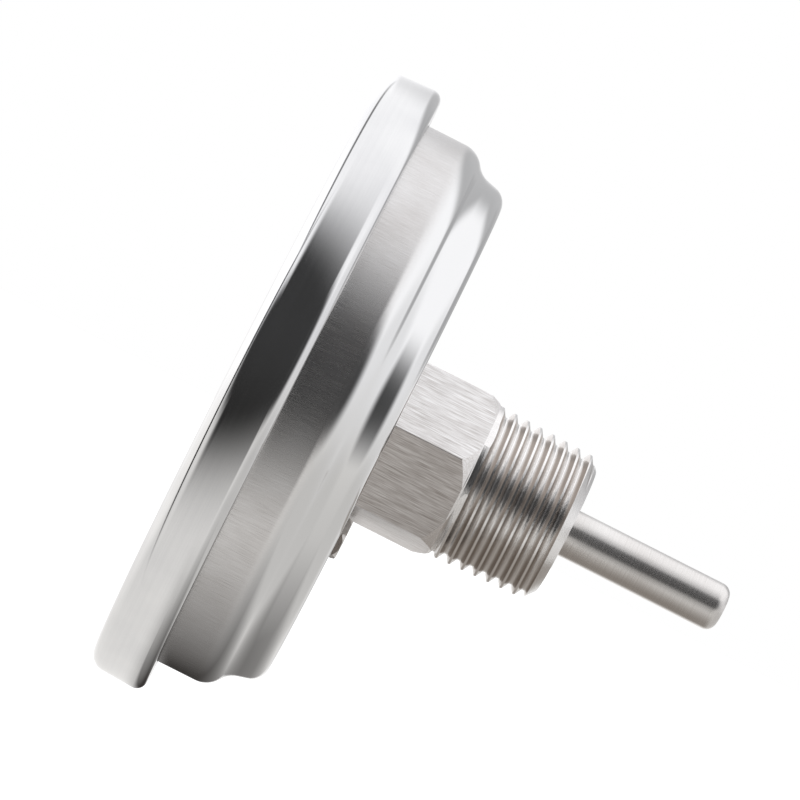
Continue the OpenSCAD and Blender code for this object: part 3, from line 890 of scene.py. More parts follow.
@dataclass
class StemAssembly:
    """Hexagon fitting with its tapered thread, and the stem.

    Attributes:
        corner_r: distance from the axis to a corner of the hexagon.
        corner_turn: angle of the first corner above the 3 o'clock line.
        edge: width of the hexagon's broken edges.
        chamfer_from: Y place where the corner chamfer starts.
        chamfer_angle: angle of the corner chamfer to the axis.
        flat_end: Y place where the flats run out.
        flank_share: outward share of a face's normal up to which the face is a flank.
        end_share: Y share of a face's normal from which the face is the thread's end.
        side_share: X share of a face's normal from which the face is a side flat.
        thread_r: crest radius where the thread starts.
        taper: loss of radius for each millimetre along the thread.
        pitch: distance between turns.
        depth: depth of the thread.
        crest: width of the flat crest.
        root: width of the rounded root.
        root_share: share of a flank that is rounded towards the root.
        crest_at: Y place of a crest at 12 o'clock.
        lead_turns: turns that are wound in front of that crest before the thread is cut to length.
        spare_turns: turns that are wound past the thread's end.
        thread_steps: steps of one turn of the thread.
        fade: length over which the groove reaches its depth.
        overlap: length by which the threaded and the plain bar overlap before they are joined.
        lead: length of the lead chamfer at the thread's end.
        lead_depth: depth of the lead chamfer.
        spigot_r: radius of the spigot through the case.
        journal_r: radius of the journal inside the case.
        groove: depth of the circlip's groove.
        neck_r: radius of the stem inside the fitting.
        stem_wall: wall of the stem.
        tip_r: radius of the edge round the stem's tip.
        tip_run: length of the stem's last straight stretch before that edge.
        tip_wall: thickness of the stem's closed end.
        bore_gap: clearance between the stem's neck and the fitting.
        neck: Y place where the thread starts.
    """

    corner_r: float = 11.917
    corner_turn: float = 11.0
    edge: float = 0.12
    chamfer_from: float = -2.0
    chamfer_angle: float = 38.0
    flat_end: float = 0.8
    flank_share: float = 0.57
    end_share: float = 0.95
    side_share: float = 0.9
    thread_r: float = 10.55
    taper: float = 1 / 32
    pitch: float = 25.4 / 14
    depth: float = 1.02
    crest: float = 0.3
    root: float = 0.3
    root_share: float = 0.2
    crest_at: float = 1.91
    lead_turns: int = 3
    spare_turns: int = 2
    thread_steps: int = 180
    fade: float = 0.9
    overlap: float = 0.05
    lead: float = 1.3
    lead_depth: float = 1.6
    spigot_r: float = 7.0
    journal_r: float = 4.5
    groove: float = 0.5
    neck_r: float = 2.975
    stem_wall: float = 0.6
    tip_r: float = 1.4
    tip_run: float = 0.1
    tip_wall: float = 1.5
    bore_gap: float = 0.03
    neck: float = field(init=False)

    def __post_init__(self) -> None:
        """Places the thread's start just in front of the corner chamfer's end."""
        run = (self.corner_r - self.thread_r) / math.tan(math.radians(self.chamfer_angle))
        self.neck = self.chamfer_from + run - self.overlap

    def hexagon(self, name: str, inset: float, front: float, back: float) -> Piece:
        """Cuts a length of hexagon bar.

        Args:
            name: the new object's name.
            inset: how far its corners lie inside the fitting's.
            front: Y place of its front.
            back: Y place of its back.

        Returns:
            The bar.
        """
        return plate(name, round_corners((0, 0), self.corner_r - inset, 6, self.corner_turn), front, back)

    def thread_radius(self, radius: float, y: float) -> float:
        """Radius of a thread point after the taper, with the groove fading in beside the hexagon.

        Args:
            radius: the point's radius in a straight thread of full depth.
            y: its Y place.

        Returns:
            The new radius.
        """
        share = min(1.0, max(0.0, (y - self.neck) / self.fade))
        eased = share * share * (3 - 2 * share)
        return self.thread_r - (self.thread_r - radius) * eased - max(0.0, y) * self.taper

    def wind_thread(self, end: float) -> Piece:
        """Winds one thread groove and cuts it to length.

        Args:
            end: Y place of the thread's end.

        Returns:
            The tapered, threaded solid.
        """
        flank = (self.pitch - self.crest - self.root) / 2
        rounded = flank * self.root_share
        rise = self.depth * self.root_share
        floor_r = self.thread_r - self.depth
        bottom = self.crest + flank
        line = [
            (self.thread_r, 0), (self.thread_r, self.crest), (floor_r + rise, bottom - rounded),
            (floor_r + rise / 4, bottom), (floor_r, bottom + self.root / 2),
            (floor_r + rise / 4, bottom + self.root), (floor_r + rise, bottom + self.root + rounded),
            (self.thread_r, self.pitch),
        ]
        start = self.crest_at - self.lead_turns * self.pitch - self.crest / 2
        points = [Vector((0, start + y, radius)) * MM for radius, y in line]
        thread = draw_line("thread", points, closed=False)
        bpy.ops.object.mode_set(mode="OBJECT")
        turns = math.ceil(end / self.pitch) + self.lead_turns + self.spare_turns
        finish_with(
            thread, "SCREW", axis="Y", screw_offset=self.pitch * MM, iterations=turns,
            steps=self.thread_steps, render_steps=self.thread_steps, use_merge_vertices=True,
            merge_threshold=WELD,
        )
        close_mesh(thread)
        set_radius(thread, self.thread_radius)
        slice_off(thread, self.neck - self.overlap, keep_front=False)
        slice_off(thread, end, keep_front=True)
        return thread

    def cut_thread(self, end: float) -> Piece:
        """Makes the threaded length of the bar.

        Args:
            end: Y place of the thread's end.

        Returns:
            The threaded solid, with its lead chamfer and the hexagon's flats running out into it.
        """
        thread = self.wind_thread(end)
        wide = self.corner_r + PAST
        front = self.neck - PAST
        flats = self.hexagon("flats", self.overlap / 10, front, self.flat_end)
        open_from = self.flat_end - self.overlap
        clear = turn("clear", [(0, open_from), (wide, open_from), (wide, end + PAST), (0, end + PAST)])
        combine(flats, clear, Cut.ADD)
        combine(thread, flats, Cut.KEEP)
        lead_r = self.thread_r - (end - self.lead) * self.taper
        wide_y = end - self.lead - (wide - lead_r) * self.lead / self.lead_depth
        outline = [(0, front), (wide, front), (wide, wide_y), (lead_r - self.lead_depth, end), (0, end)]
        combine(thread, turn("lead_chamfer", outline), Cut.KEEP)
        return thread

    def build_fitting(self) -> None:
        """Cuts the hexagon, the thread, the spigot and the journal from one bar."""
        front, end = node_span("hex_fitting", 1)
        case_back = node_span("case_shell", 1)[1]
        spigot_end = node_span("dial_spring", 1)[1]
        clip_front, clip_back = node_span("dial_circlip", 1)
        fitting = self.hexagon("hex_fitting_bar", 0.0, case_back, self.flat_end)
        break_edges(fitting, self.edge)
        slope = math.tan(math.radians(self.chamfer_angle))
        wide = self.corner_r + PAST
        outline = [
            (0, case_back - PAST), (wide, case_back - PAST),
            (wide, self.chamfer_from - (wide - self.corner_r) / slope),
            (self.thread_r + self.overlap * slope, self.neck), (0, self.neck),
        ]
        combine(fitting, turn("corner_chamfer", outline), Cut.KEEP)
        combine(fitting, self.cut_thread(end), Cut.ADD)
        groove_r = self.journal_r - self.groove
        outline = [
            (0, front), (self.journal_r, front), (self.journal_r, clip_front), (groove_r, clip_front),
            (groove_r, clip_back), (self.journal_r, clip_back), (self.journal_r, spigot_end),
            (self.spigot_r, spigot_end), (self.spigot_r, case_back + PAST), (0, case_back + PAST),
        ]
        combine(fitting, turn("spigot", outline, BORE_STEPS), Cut.ADD)
        bore_r = self.neck_r + self.bore_gap
        outline = [(0, front - PAST), (bore_r, front - PAST), (bore_r, end + PAST), (0, end + PAST)]
        combine(fitting, turn("bore", outline, BORE_STEPS), Cut.TAKE)
        close_mesh(fitting, FLAT_ANGLE)
        hand_over(fitting, DRAWN_STEEL, Body.CASE, "hex_fitting")
        self.dress_fitting(fitting)

    def dress_fitting(self, fitting: Piece) -> None:
        """Gives the thread's crests and roots, its flanks and the side flats finishes of their own; the
        darker flanks and side flats are painted shade.

        Args:
            fitting: the finished fitting.
        """
        for finish in (CREST_STEEL, SHADED_FLANK_STEEL, SHADED_SIDE_STEEL):
            fitting.data.materials.append(finish.make())
        for face in fitting.data.polygons:
            out = Vector((face.center.x, 0, face.center.z)).normalized()
            # Flanks take a darker colour: painted shade of the grooves.
            if face.center.y > self.neck * MM:
                flank = face.normal.dot(out) < self.flank_share and abs(face.normal.y) < self.end_share
                face.material_index = 2 if flank else 1
            # The side flats take a darker colour: painted shade.
            elif abs(face.normal.x) > self.side_share:
                face.material_index = 3

    def build_stem(self) -> None:
        """Turns the stem with its neck, its bore and its rounded tip."""
        front, tip = node_span("stem_tube", 1)
        thread_end = node_span("hex_fitting", 1)[1]
        stem_r = node_radius("stem_tube")
        bore_r = stem_r - self.stem_wall
        bore_end = tip - self.tip_wall
        outline = [
            (0, bore_end), (bore_r, bore_end), (bore_r, front), (self.neck_r, front),
            (self.neck_r, thread_end), (stem_r, thread_end), (stem_r, tip - self.tip_r - self.tip_run),
            *arc((stem_r - self.tip_r, tip - self.tip_r), self.tip_r, 0, 90), (0, tip),
        ]
        hand_over(turn("stem_tube_ground", outline, STEM_STEPS), SATIN_STEEL, Body.CASE, "stem_tube")

    def build(self) -> None:
        """Builds and dresses every piece."""
        self.build_fitting()
        self.build_stem()


@dataclass
class Scale:
    """One printed scale on the dial.

    Attributes:
        name: word for the scale in the names of its pieces.
        unit: sign printed for its unit.
        unit_r: radius of the unit's sign, below the middle of the dial.
        ink: the ink that it is printed in.
        low: lowest reading with a number.
        high: highest reading with a number.
        number_step: reading between numbers.
        fine_step: reading between the shortest marks.
        line_r: radius of the line that the marks stand on.
        lengths: lengths of the shortest, middle and longest marks.
        widths: widths of those marks.
        number_r: radius of the numbers' middles.
        number_size: size of the numbers.
        to_celsius: turns a reading into degrees Celsius.
    """

    name: str
    unit: str
    unit_r: float
    ink: CoatFinish
    low: int
    high: int
    number_step: int
    fine_step: int
    line_r: float
    lengths: tuple[float, float, float]
    widths: tuple[float, float, float]
    number_r: float
    number_size: float
    to_celsius: Callable[[float], float]


@dataclass
class DialAssembly:
    """Printed dial with its screws.

    Attributes:
        hole_r: radius of the hole for the spindle.
        edge: radius of the dial's edges.
        screw_ring_r: radius of the ring of dial screws.
        screw_angles: angles of the dial screws, clockwise from 12 o'clock.
        screw_r: radius of a screw's shank.
        screw_gap: clearance round a screw's shank.
        head_r: radius of a screw's head.
        head_height: height of a screw's head.
        head_edge: radius of the edge of a screw's head.
        slot: width of the slot in a screw's head.
        slot_depth: depth of that slot.
        print_thick: thickness of the ink.
        line_steps: steps of the line that the marks stand on.
        sweep_from: angle of 0 degrees Celsius, clockwise from 12 o'clock.
        sweep: angle for each degree Celsius.
        scales: the printed scales.
        front: Y place of the dial's front.
        back: Y place of the dial's back.
    """

    hole_r: float = 2.4
    edge: float = 0.1
    screw_ring_r: float = 8.0
    screw_angles: tuple[float, ...] = (0.0, 120.0, 240.0)
    screw_r: float = 0.7
    screw_gap: float = 0.03
    head_r: float = 1.3
    head_height: float = 0.6
    head_edge: float = 0.15
    slot: float = 0.4
    slot_depth: float = 0.3
    print_thick: float = 0.02
    line_steps: int = 180
    sweep_from: float = -135.0
    sweep: float = 270 / 120
    scales: tuple[Scale, ...] = (
        Scale(
            "celsius", "°C", 21.5, BLACK_INK, 0, 120, 10, 1, 34.6, (1.6, 2.5, 3.6), (0.22, 0.3, 0.5),
            27.4, 4.2, lambda reading: reading,
        ),
        Scale(
            "fahrenheit", "°F", 14.2, RED_INK, 40, 240, 20, 5, 21.8, (1.0, 1.5, 2.1), (0.18, 0.22, 0.34),
            17.0, 2.7, lambda reading: (reading - 32) / 1.8,
        ),
    )
    front: float = field(init=False)
    back: float = field(init=False)

    def __post_init__(self) -> None:
        """Takes the dial's planes from the frame."""
        self.front, self.back = node_span("dial_plate", 1)

    def angle(self, scale: Scale, reading: float) -> float:
        """Angle of a reading, clockwise from 12 o'clock."""
        return self.sweep_from + self.sweep * scale.to_celsius(reading)

    def build_plate(self) -> None:
        """Turns the dial and drills it for the spindle and the screws."""
        soft = self.edge
        rim = node_radius("dial_plate") - soft
        outline = [
            (self.hole_r, self.front), *arc((rim, self.front + soft), soft, -90, 0, steps=3),
            *arc((rim, self.back - soft), soft, 0, 90, steps=3), (self.hole_r, self.back),
        ]
        dial = turn("dial_plate_enamelled", outline)
        for degrees in self.screw_angles:
            place = dial_place(self.screw_ring_r, degrees, 0) / MM
            circle = round_corners((place.x, place.z), self.screw_r + self.screw_gap, HOLE_STEPS)
            combine(dial, plate("screw_hole", circle, self.front - PAST, self.back + PAST), Cut.TAKE)
        hand_over(dial, DIAL_ENAMEL, Body.DIAL, "dial_plate")

    def mark_row(self, scale: Scale, degrees: Sequence[float], length: float, width: float) -> Piece:
        """Prints a row of evenly spaced marks by copying one round the dial.

        Args:
            scale: the scale that they belong to.
            degrees: angles of the marks, evenly spaced.
            length: length of a mark.
            width: width of a mark.

        Returns:
            The row of marks.
        """
        half, outer, inner = width / 2, scale.line_r, scale.line_r - length
        corners = [(-half, outer), (half, outer), (half, inner), (-half, inner)]
        marks = plate(f"{scale.name}_marks", corners, self.front - self.print_thick, self.front)
        edit_all(marks)
        bpy.ops.transform.rotate(value=-math.radians(degrees[0]), orient_axis="Y", center_override=(0, 0, 0))
        bpy.ops.mesh.spin(
            steps=len(degrees) - 1, dupli=True, angle=math.radians(degrees[0] - degrees[-1]),
            center=(0, 0, 0), axis=(0, 1, 0), use_auto_merge=False,
        )
        bpy.ops.object.mode_set(mode="OBJECT")
        return marks

    def scale_line(self, scale: Scale) -> Piece:
        """Prints the line that a scale's marks stand on.

        Args:
            scale: the scale.

        Returns:
            The line.
        """
        start, end = self.angle(scale, scale.low), self.angle(scale, scale.high)
        half, top = scale.widths[0] / 2, self.front - self.print_thick
        section = ((-half, top), (half, top), (half, self.front), (-half, self.front))
        corners = [dial_place(scale.line_r + side, start, y) for side, y in section]
        line = draw_line(f"{scale.name}_line", corners, closed=True)
        bpy.ops.mesh.edge_face_add()
        bpy.ops.mesh.spin(
            steps=self.line_steps, angle=math.radians(start - end), center=(0, 0, 0), axis=(0, 1, 0),
            use_auto_merge=False,
        )
        close_mesh(line)
        return line

    def print_marks(self, scale: Scale) -> None:
        """Prints a scale's line and its three lengths of marks.

        Args:
            scale: the scale.
        """
        steps = (scale.fine_step, scale.number_step // 2, scale.number_step)
        rows = []
        for step, length, width in zip(steps, scale.lengths, scale.widths):
            readings = range(scale.low, scale.high + 1, step)
            rows.append(self.mark_row(scale, [self.angle(scale, r) for r in readings], length, width))
        marks = join([*rows, self.scale_line(scale)])
        marks.name = marks.data.name = f"dial_marks_{scale.name}"
        hand_over(marks, scale.ink, Body.DIAL)

    def print_text(self, text: str, size: float, radius: float, degrees: float) -> Piece:
        """Prints one upright number or sign.

        Args:
            text: what is printed.
            size: size of the letters.
            radius: distance of its middle from the dial's.
            degrees: angle of its middle, clockwise from 12 o'clock.

        Returns:
            The printed text as a mesh.
        """
        deselect()
        bpy.ops.object.text_add()
        letters = bpy.context.object
        letters.data.body = text
        letters.data.size = size * MM
        letters.data.extrude = self.print_thick * MM / 2
        letters.data.align_x = "CENTER"
        letters.data.align_y = "CENTER"
        bpy.ops.object.convert(target="MESH")
        letters = bpy.context.object
        letters.location = dial_place(radius, degrees, self.front - self.print_thick / 2)
        letters.rotation_euler = (math.radians(90), 0, 0)
        bpy.ops.object.transform_apply(location=True, rotation=True, scale=True)
        return letters

    def print_numbers(self, scale: Scale) -> None:
        """Prints a scale's numbers and its unit.

        Args:
            scale: the scale.
        """
        prints = [
            self.print_text(str(reading), scale.number_size, scale.number_r, self.angle(scale, reading))
            for reading in range(scale.low, scale.high + 1, scale.number_step)
        ]
        prints.append(self.print_text(scale.unit, scale.number_size, scale.unit_r, 180))
        numbers = join(prints)
        numbers.name = numbers.data.name = f"dial_numbers_{scale.name}"
        hand_over(numbers, scale.ink, Body.DIAL)

    def build_screws(self) -> None:
        """Turns one slotted screw and copies it to each pillar."""
        end = node_span("dial_screws", 1)[1]
        head_front = self.front - self.head_height
        flat_r = self.head_r - self.head_edge
        outline = [
            (0, head_front), (flat_r, head_front),
            *arc((flat_r, head_front + self.head_edge), self.head_edge, -90, 0, steps=5),
            (self.head_r, self.front), (self.screw_r, self.front), (self.screw_r, end), (0, end),
        ]
        screw = turn("dial_screws_slotted", outline, SCREW_STEPS)
        half, reach = self.slot / 2, self.head_r + PAST
        corners = [(-half, -reach), (half, -reach), (half, reach), (-half, reach)]
        combine(screw, plate("slot", corners, head_front - PAST, head_front + self.slot_depth), Cut.TAKE)
        screws = [screw]
        for _ in self.screw_angles[1:]:
            copied = screw.copy()
            copied.data = screw.data.copy()
            bpy.context.collection.objects.link(copied)
            screws.append(copied)
        for piece, degrees in zip(screws, self.screw_angles):
            turned = Matrix.Rotation(math.radians(degrees), 4, "Y")
            piece.data.transform(Matrix.Translation(dial_place(self.screw_ring_r, degrees, 0)) @ turned)
        hand_over(join(screws), TUMBLED_STEEL, Body.DIAL, "dial_screws")

    def build(self) -> None:
        """Builds and dresses every piece."""
        self.build_plate()
        for scale in self.scales:
            self.print_marks(scale)
            self.print_numbers(scale)
        self.build_screws()


@dataclass
class PointerAssembly:
    """Pointer and the hub that carries it.

    Attributes:
        width: width of the blade at the hub.
        tip: width of the blade at its tip.
        hub_disc_r: radius of the pointer round its hub.
        tail_at: distance from the axis to the counterweight.
        neck_r: radius of the hub where the pointer sits.
        neck_gap: clearance between the pointer and the hub's neck.
        blade_edge: width of the blade's broken edges.
        head_r: radius of the hub's head.
        flange_r: radius of the hub's flange.
        bore_r: radius of the hub's bore.
        edge: radius of the hub head's edge.
    """

    width: float = 2.4
    tip: float = 0.7
    hub_disc_r: float = 2.6
    tail_at: float = 12.0
    neck_r: float = 1.5
    neck_gap: float = 0.03
    blade_edge: float = 0.05
    head_r: float = 2.1
    flange_r: float = 2.6
    bore_r: float = 0.78
    edge: float = 0.35

    def build_pointer(self) -> None:
        """Cuts the tapering blade with its counterweight, pointing to 9 o'clock."""
        front, back = node_span("pointer", 1)
        reach = -node_span("pointer", 0)[0]
        tail_r = node_span("pointer", 2)[1]
        half, tip = self.width / 2, self.tip / 2
        corners = [
            (-reach, -tip), (-reach, tip), (0, half), (self.tail_at, half), (self.tail_at, -half), (0, -half),
        ]
        pointer = plate("pointer_blade", corners, front, back)
        for middle, radius in ((0.0, self.hub_disc_r), (self.tail_at, tail_r)):
            disc = plate("disc", round_corners((middle, 0), radius, BORE_STEPS), front, back)
            combine(pointer, disc, Cut.ADD)
        circle = round_corners((0, 0), self.neck_r + self.neck_gap, SCREW_STEPS)
        combine(pointer, plate("hole", circle, front - PAST, back + PAST), Cut.TAKE)
        break_edges(pointer, self.blade_edge, segments=2)
        close_mesh(pointer)
        hand_over(pointer, POINTER_LACQUER, Body.POINTER, "pointer")

    def build_hub(self) -> None:
        """Turns the hub that is riveted to the pointer."""
        front, back = node_span("pointer_hub", 1)
        blade_front, blade_back = node_span("pointer", 1)
        outline = [
            (self.bore_r, front),
            *arc((self.head_r - self.edge, front + self.edge), self.edge, -90, 0, steps=6),
            (self.head_r, blade_front), (self.neck_r, blade_front), (self.neck_r, blade_back),
            (self.flange_r, blade_back), (self.flange_r, back), (self.bore_r, back),
        ]
        hand_over(turn("pointer_hub_turned", outline, BORE_STEPS), BRASS, Body.POINTER, "pointer_hub")

    def build(self) -> None:
        """Builds and dresses every piece."""
        self.build_pointer()
        self.build_hub()


@dataclass
class AdjusterAssembly:
    """Hexagon-headed screw that trims the dial.

    Attributes:
        across: size of the head across its flats.
        corner_turn: angle of the head's first corner above the 3 o'clock line.
        edge: width of the head's broken edges.
        bevel: depth of the bevel round the head.
        shank_r: radius of the shank.
        groove: depth of the clip's groove.
        run_gap: clearance under the head.
        overlap: length of the shank that reaches into the head.
        flat_share: Y share of a face's normal below which the face is a flat.
    """

    across: float = 5.2
    corner_turn: float = 11.0
    edge: float = 0.08
    bevel: float = 0.55
    shank_r: float = 1.5
    groove: float = 0.35
    run_gap: float = 0.05
    overlap: float = 0.2
    flat_share: float = 0.1

    def build(self) -> None:
        """Cuts the head from hexagon bar, bevels it, turns the shank and paints shade on the lower flats."""
        front, head_back = node_span("adjuster_screw", 1)
        axis_z = sum(node_span("adjuster_screw", 2)) / 2
        flat_r = self.across / 2
        corner_r = flat_r / math.cos(math.pi / 6)
        head_front = node_span("case_shell", 1)[1] + self.run_gap
        clip_front, clip_back = node_span("adjuster_clip", 1)
        corners = round_corners((0, axis_z), corner_r, 6, self.corner_turn)
        screw = plate("adjuster_screw_hex", corners, head_front, head_back)
        break_edges(screw, self.edge)
        wide = corner_r + PAST
        wide_y = head_back - self.bevel * (wide - flat_r) / (corner_r - flat_r)
        tool_front = head_front - PAST
        outline = [(0, tool_front), (wide, tool_front), (wide, wide_y), (flat_r, head_back), (0, head_back)]
        combine(screw, turn("head_bevel", outline, BORE_STEPS, axis_z), Cut.KEEP)
        groove_r = self.shank_r - self.groove
        shank_end = head_front + self.overlap
        outline = [
            (0, front), (self.shank_r, front), (self.shank_r, clip_front), (groove_r, clip_front),
            (groove_r, clip_back), (self.shank_r, clip_back), (self.shank_r, shank_end), (0, shank_end),
        ]
        combine(screw, turn("shank", outline, SCREW_STEPS, axis_z), Cut.ADD)
        close_mesh(screw, FLAT_ANGLE)
        hand_over(screw, TUMBLED_STEEL, Body.ADJUSTER, "adjuster_screw")
        # The lower flats take a darker colour: painted shade where they face down.
        screw.data.materials.append(SHADED_LOWER_STEEL.make())
        for face in screw.data.polygons:
            lower = abs(face.normal.y) < self.flat_share and face.normal.z < 0
            face.material_index = int(face.center.y > head_front * MM and lower)


# Room, floor and camera

# Where a panel's soft edge starts and ends, as shares of its half size
PANEL_EDGE = {"From Min": 0.6, "From Max": 1.4}
# What is added for directions behind a panel, so that they lie outside its edge
FAR_OFF = 10.0


@dataclass(frozen=True)
class Panel:
    """Soft-edged part of the room that is darker or brighter than its walls.

    Attributes:
        azimuth: direction of its middle, from +X towards +Y.
        elevation: height of its middle above the horizon.
        half_width: half of its width.
        half_height: half of its height.
        level: brightness of its middle; the walls are 1.
    """

    azimuth: float
    elevation: float
    half_width: float
    half_height: float
    level: float

    def add_to(self, tree: Tree, direction: Socket) -> Node:
        """Adds the panel's nodes.

        Args:
            tree: the room's node tree.
            direction: direction of the ray.

        Returns:
            Node that gives the factor by which the panel changes the walls' brightness.
        """
        raised = Matrix.Rotation(-math.radians(self.elevation), 3, "Y")
        turned = Matrix.Rotation(math.radians(self.azimuth), 3, "Z") @ raised
        ahead, aside, above = (turned @ Vector(axis) for axis in ((1, 0, 0), (0, 1, 0), (0, 0, 1)))
        aside /= math.sin(math.radians(self.half_width))
        above /= math.sin(math.radians(self.half_height))
        parts = [
            add_node(tree, "VectorMath", {0: direction, 1: axis}, operation="DOT_PRODUCT").outputs["Value"]
            for axis in (aside, above, ahead)
        ]
        spread = add_node(tree, "CombineXYZ", {0: parts[0], 1: parts[1]})
        off = add_node(tree, "VectorMath", {0: spread}, operation="LENGTH").outputs["Value"]
        behind = add_node(tree, "Math", {0: parts[2], 1: 0.0}, operation="LESS_THAN")
        far = add_node(tree, "Math", {0: behind, 1: FAR_OFF, 2: off}, operation="MULTIPLY_ADD")
        return add_node(
            tree, "MapRange", {"Value": far, **PANEL_EDGE, "To Min": self.level, "To Max": 1.0},
            interpolation_type="SMOOTHERSTEP",
        )


@dataclass(frozen=True)
class Card:
    """Glowing card below the object that fades out towards its edges; only mirrors above it see it. A dark
    card is a painted shadow in reflections, a pale one a painted reflection.

    Attributes:
        name: the card's name.
        colour: sRGB colour of its middle.
        height: Z place of the card.
        x: X places between which it lies.
        y: Y places between which it lies.
        full_x: X places between which it doesn't fade.
        full_y: Y places between which it doesn't fade.
    """

    name: str
    colour: str
    height: float
    x: Point
    y: Point
    full_x: Point
    full_y: Point

    def shader(self, tree: Tree) -> Node:
        """Adds the card's light, which gives way to nothing at its edges and from below.

        Args:
            tree: the material's node tree.

        Returns:
            The shader.
        """
        place = add_node(tree, "TexCoord").outputs["Object"]
        apart = add_node(tree, "SeparateXYZ", {0: place})
        clear: Any = add_node(tree, "NewGeometry").outputs["Backfacing"]
        for axis, full, edges in (("X", self.full_x, self.x), ("Y", self.full_y, self.y)):
            for start, end in zip(full, edges):
                fade = add_node(
                    tree, "MapRange",
                    {"Value": apart.outputs[axis], "From Min": start * MM, "From Max": end * MM},
                    interpolation_type="SMOOTHSTEP",
                )
                clear = add_node(tree, "Math", {0: clear, 1: fade}, operation="MAXIMUM")
        glow = add_node(tree, "Emission", {"Color": linear(self.colour)})
        return add_node(tree, "MixShader", {0: clear, 1: glow, 2: add_node(tree, "BsdfTransparent")})

    def build(self) -> None:
        """Sets up the card."""
        deselect()
        bpy.ops.mesh.primitive_plane_add(size=1.0)
        card = bpy.context.object
        card.name = self.name
        card.scale = Vector((self.x[1] - self.x[0], self.y[1] - self.y[0], 1)) * MM
        card.location = Vector((sum(self.x), sum(self.y), 2 * self.height)) * MM / 2
        bpy.ops.object.transform_apply(location=True, rotation=True, scale=True)
        card.data.materials.append(new_material(self.name, self.shader))
        card.visible_camera = False
        card.visible_diffuse = False
        card.visible_shadow = False
        card.visible_transmission = False


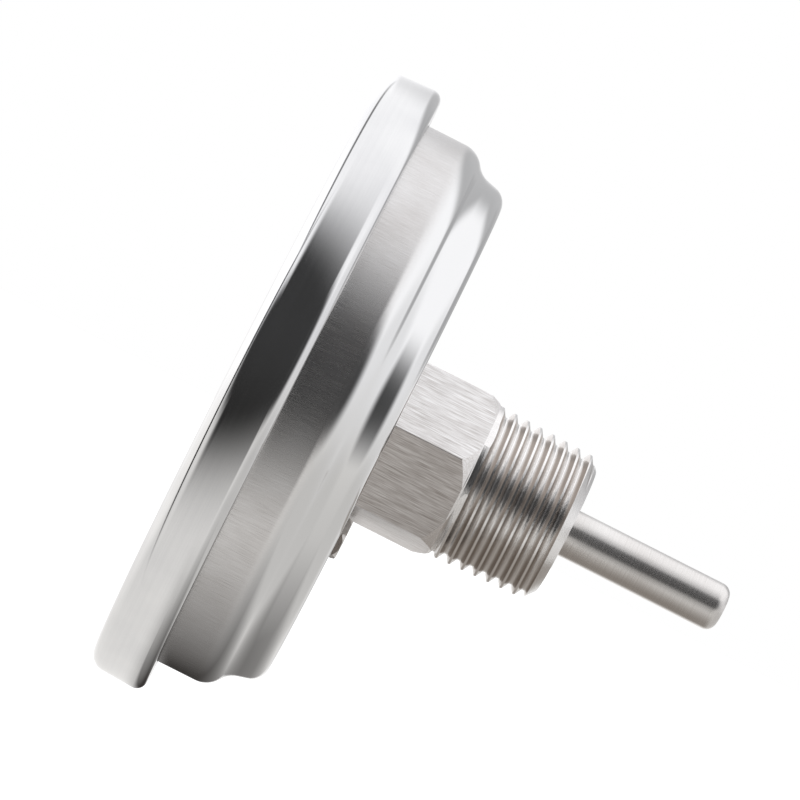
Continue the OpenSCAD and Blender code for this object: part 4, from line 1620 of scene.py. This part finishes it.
@dataclass
class Studio:
    """White room, pale floor and the camera.

    Attributes:
        distance: distance of the camera from the stem's axis.
        foot: Y place square in front of the camera.
        target: Y and Z place in the middle of the picture.
        roll: angle by which the camera is turned about its own axis.
        scale: pixels for each millimetre at the axis.
        picture: pixels along the picture's side.
        sensor: width of the camera's sensor.
        clip: nearest and farthest distance that the camera sees, in metres.
        floor_z: Z place of the floor.
        floor_size: length of the floor's side, in metres.
        floor_colour: sRGB colour of the floor.
        low_light: linear colour of the room below the horizon.
        high_light: linear colour of the room above it.
        blend: sine of the elevation up to which one gives way to the other.
        cards: the cards below the case, the stem, the hexagon and the thread: dark ones paint the shadow of a
            table under the object into reflections, the pale one under the hexagon a brighter reflection.
        panels: the room's opening, its dim corners behind the object and its bright side before the dial.
    """

    distance: float = 575.0
    foot: float = -20.0
    target: Point = (-12.1, 5.4)
    roll: float = 26.87
    scale: float = 7.85
    picture: float = 800.0
    sensor: float = 36.0
    clip: Point = (0.01, 20.0)
    floor_z: float = -78.0
    floor_size: float = 8.0
    floor_colour: str = "#FBFBFA"
    low_light: tuple[float, ...] = (0.945, 0.93, 0.91, 1.0)
    high_light: tuple[float, ...] = (1.27, 1.27, 1.29, 1.0)
    blend: float = 0.35
    cards: tuple[Card, ...] = (
        # Dark cards: painted shadow of a table under the case, the stem and the thread, seen only in
        # reflections; hex_glow: a painted brighter reflection on the hexagon's underside.
        Card("case_shadow_card", "#3A3735", -46.0, (-70, 60), (-28, 16), (-30, -15), (-23, -22)),
        Card("stem_shadow_card", "#9A948E", -14.5, (-22, 24), (0, 44), (-6, -2), (3, 38)),
        Card("hex_glow", "#E0DEDC", -14.5, (-24, 2), (-11, 1), (-20, -2), (-9, -1)),
        Card("thread_shadow_card", "#A49E98", -14.0, (-22, 26), (-1, 17), (-8, 8), (2, 14)),
    )
    panels: tuple[Panel, ...] = (
        Panel(-14, 12, 25, 50, 0.035),
        Panel(-30, 8, 34, 24, 0.035),
        Panel(0, 14, 50, 28, 0.045),
        Panel(-67, -6, 5, 50, 0.03),
        Panel(-115, 44, 42, 4, 0.2),
        Panel(80, 5, 48, 30, 0.8),
        Panel(140, 16, 30, 10, 0.4),
        Panel(158, 20, 22, 28, 0.45),
        Panel(90, -35, 55, 38, 0.75),
        Panel(-100, 0, 42, 38, 1.3),
    )

    def light_room(self) -> None:
        """Lights the room: white above, a little warmer below; only mirrors see its panels."""
        world = bpy.data.worlds.new("studio")
        world.use_nodes = True
        tree = world.node_tree
        tree.nodes.clear()
        direction = add_node(tree, "TexCoord").outputs["Generated"]
        height = add_node(tree, "SeparateXYZ", {0: direction}).outputs["Z"]
        share = add_node(
            tree, "MapRange", {"Value": height, "From Min": -self.blend, "From Max": self.blend},
            interpolation_type="SMOOTHSTEP",
        )
        ends = {0: share, 6: self.low_light, 7: self.high_light}
        walls = add_node(tree, "Mix", ends, data_type="RGBA").outputs[2]
        level: Any = 1.0
        for panel in self.panels:
            joined = "MINIMUM" if panel.level < 1 else "MULTIPLY"
            level = add_node(tree, "Math", {0: level, 1: panel.add_to(tree, direction)}, operation=joined)
        rays = add_node(tree, "LightPath").outputs
        mirrored = add_node(tree, "Mix", {0: rays["Is Glossy Ray"], 2: 1.0, 3: level})
        room = add_node(tree, "Background", {"Color": walls, "Strength": mirrored})
        white = add_node(tree, "Background", {"Color": (1, 1, 1, 1), "Strength": 1.0})
        seen = add_node(
            tree, "Math", {0: rays["Is Camera Ray"], 1: rays["Is Transmission Ray"]}, operation="MAXIMUM"
        )
        mixed = add_node(tree, "MixShader", {0: seen, 1: room, 2: white})
        add_node(tree, "OutputWorld", {"Surface": mixed})
        bpy.context.scene.world = world

    def floor_shader(self, tree: Tree) -> Node:
        """Adds the floor's matt paper, which is the same all over."""
        paper = {"Base Color": linear(self.floor_colour), "Roughness": 0.9, "Specular IOR Level": 0.0}
        return add_node(tree, "BsdfPrincipled", paper)

    def lay_floor(self) -> None:
        """Lays a pale floor under the object; mirrors look past it at the room."""
        deselect()
        bpy.ops.mesh.primitive_plane_add(size=self.floor_size, location=(0, 0, self.floor_z * MM))
        floor = bpy.context.object
        floor.name = "floor"
        floor.data.materials.append(new_material("floor_paper", self.floor_shader))
        floor.visible_glossy = False

    def place_camera(self) -> None:
        """Places the camera square to the stem's axis, rolled as the picture is."""
        lens = bpy.data.cameras.new("camera")
        camera = bpy.data.objects.new("camera", lens)
        bpy.context.scene.collection.objects.link(camera)
        place = Vector((self.distance, self.foot, self.target[1])) * MM
        aim = Vector((0, self.target[0], self.target[1])) * MM
        back = (place - aim).normalized()
        roll = math.radians(self.roll)
        up = Vector((0, -math.sin(roll), math.cos(roll)))
        right = up.cross(back).normalized()
        turned = Matrix((right, back.cross(right), back)).transposed().to_4x4()
        camera.matrix_world = Matrix.Translation(place) @ turned
        lens.sensor_width = self.sensor
        lens.lens = self.scale * (place - aim).length / MM / self.picture * self.sensor
        lens.clip_start, lens.clip_end = self.clip
        bpy.context.scene.camera = camera

    def build(self) -> None:
        """Sets up the light, the floor, the cards and the camera."""
        self.light_room()
        self.lay_floor()
        for card in self.cards:
            card.build()
        self.place_camera()
        bpy.context.scene.view_settings.view_transform = "Standard"


def dress_kept_nodes() -> None:
    """Gives every node that stays as the frame has it its own finish."""
    for finish, names in KEPT_NODES.items():
        for name in names:
            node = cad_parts[name]
            node.data.materials.clear()
            node.data.materials.append(finish.make())
            log.info("%s: kept, %s", name, finish.name)


def main() -> None:
    """Builds the assemblies and the studio in order."""
    for assembly in (
        CaseAssembly(), StemAssembly(), DialAssembly(), PointerAssembly(), AdjusterAssembly(), Studio(),
    ):
        assembly.build()
        log.info("%s is built", type(assembly).__name__)
    dress_kept_nodes()


if __name__ == "__main__":
    main()
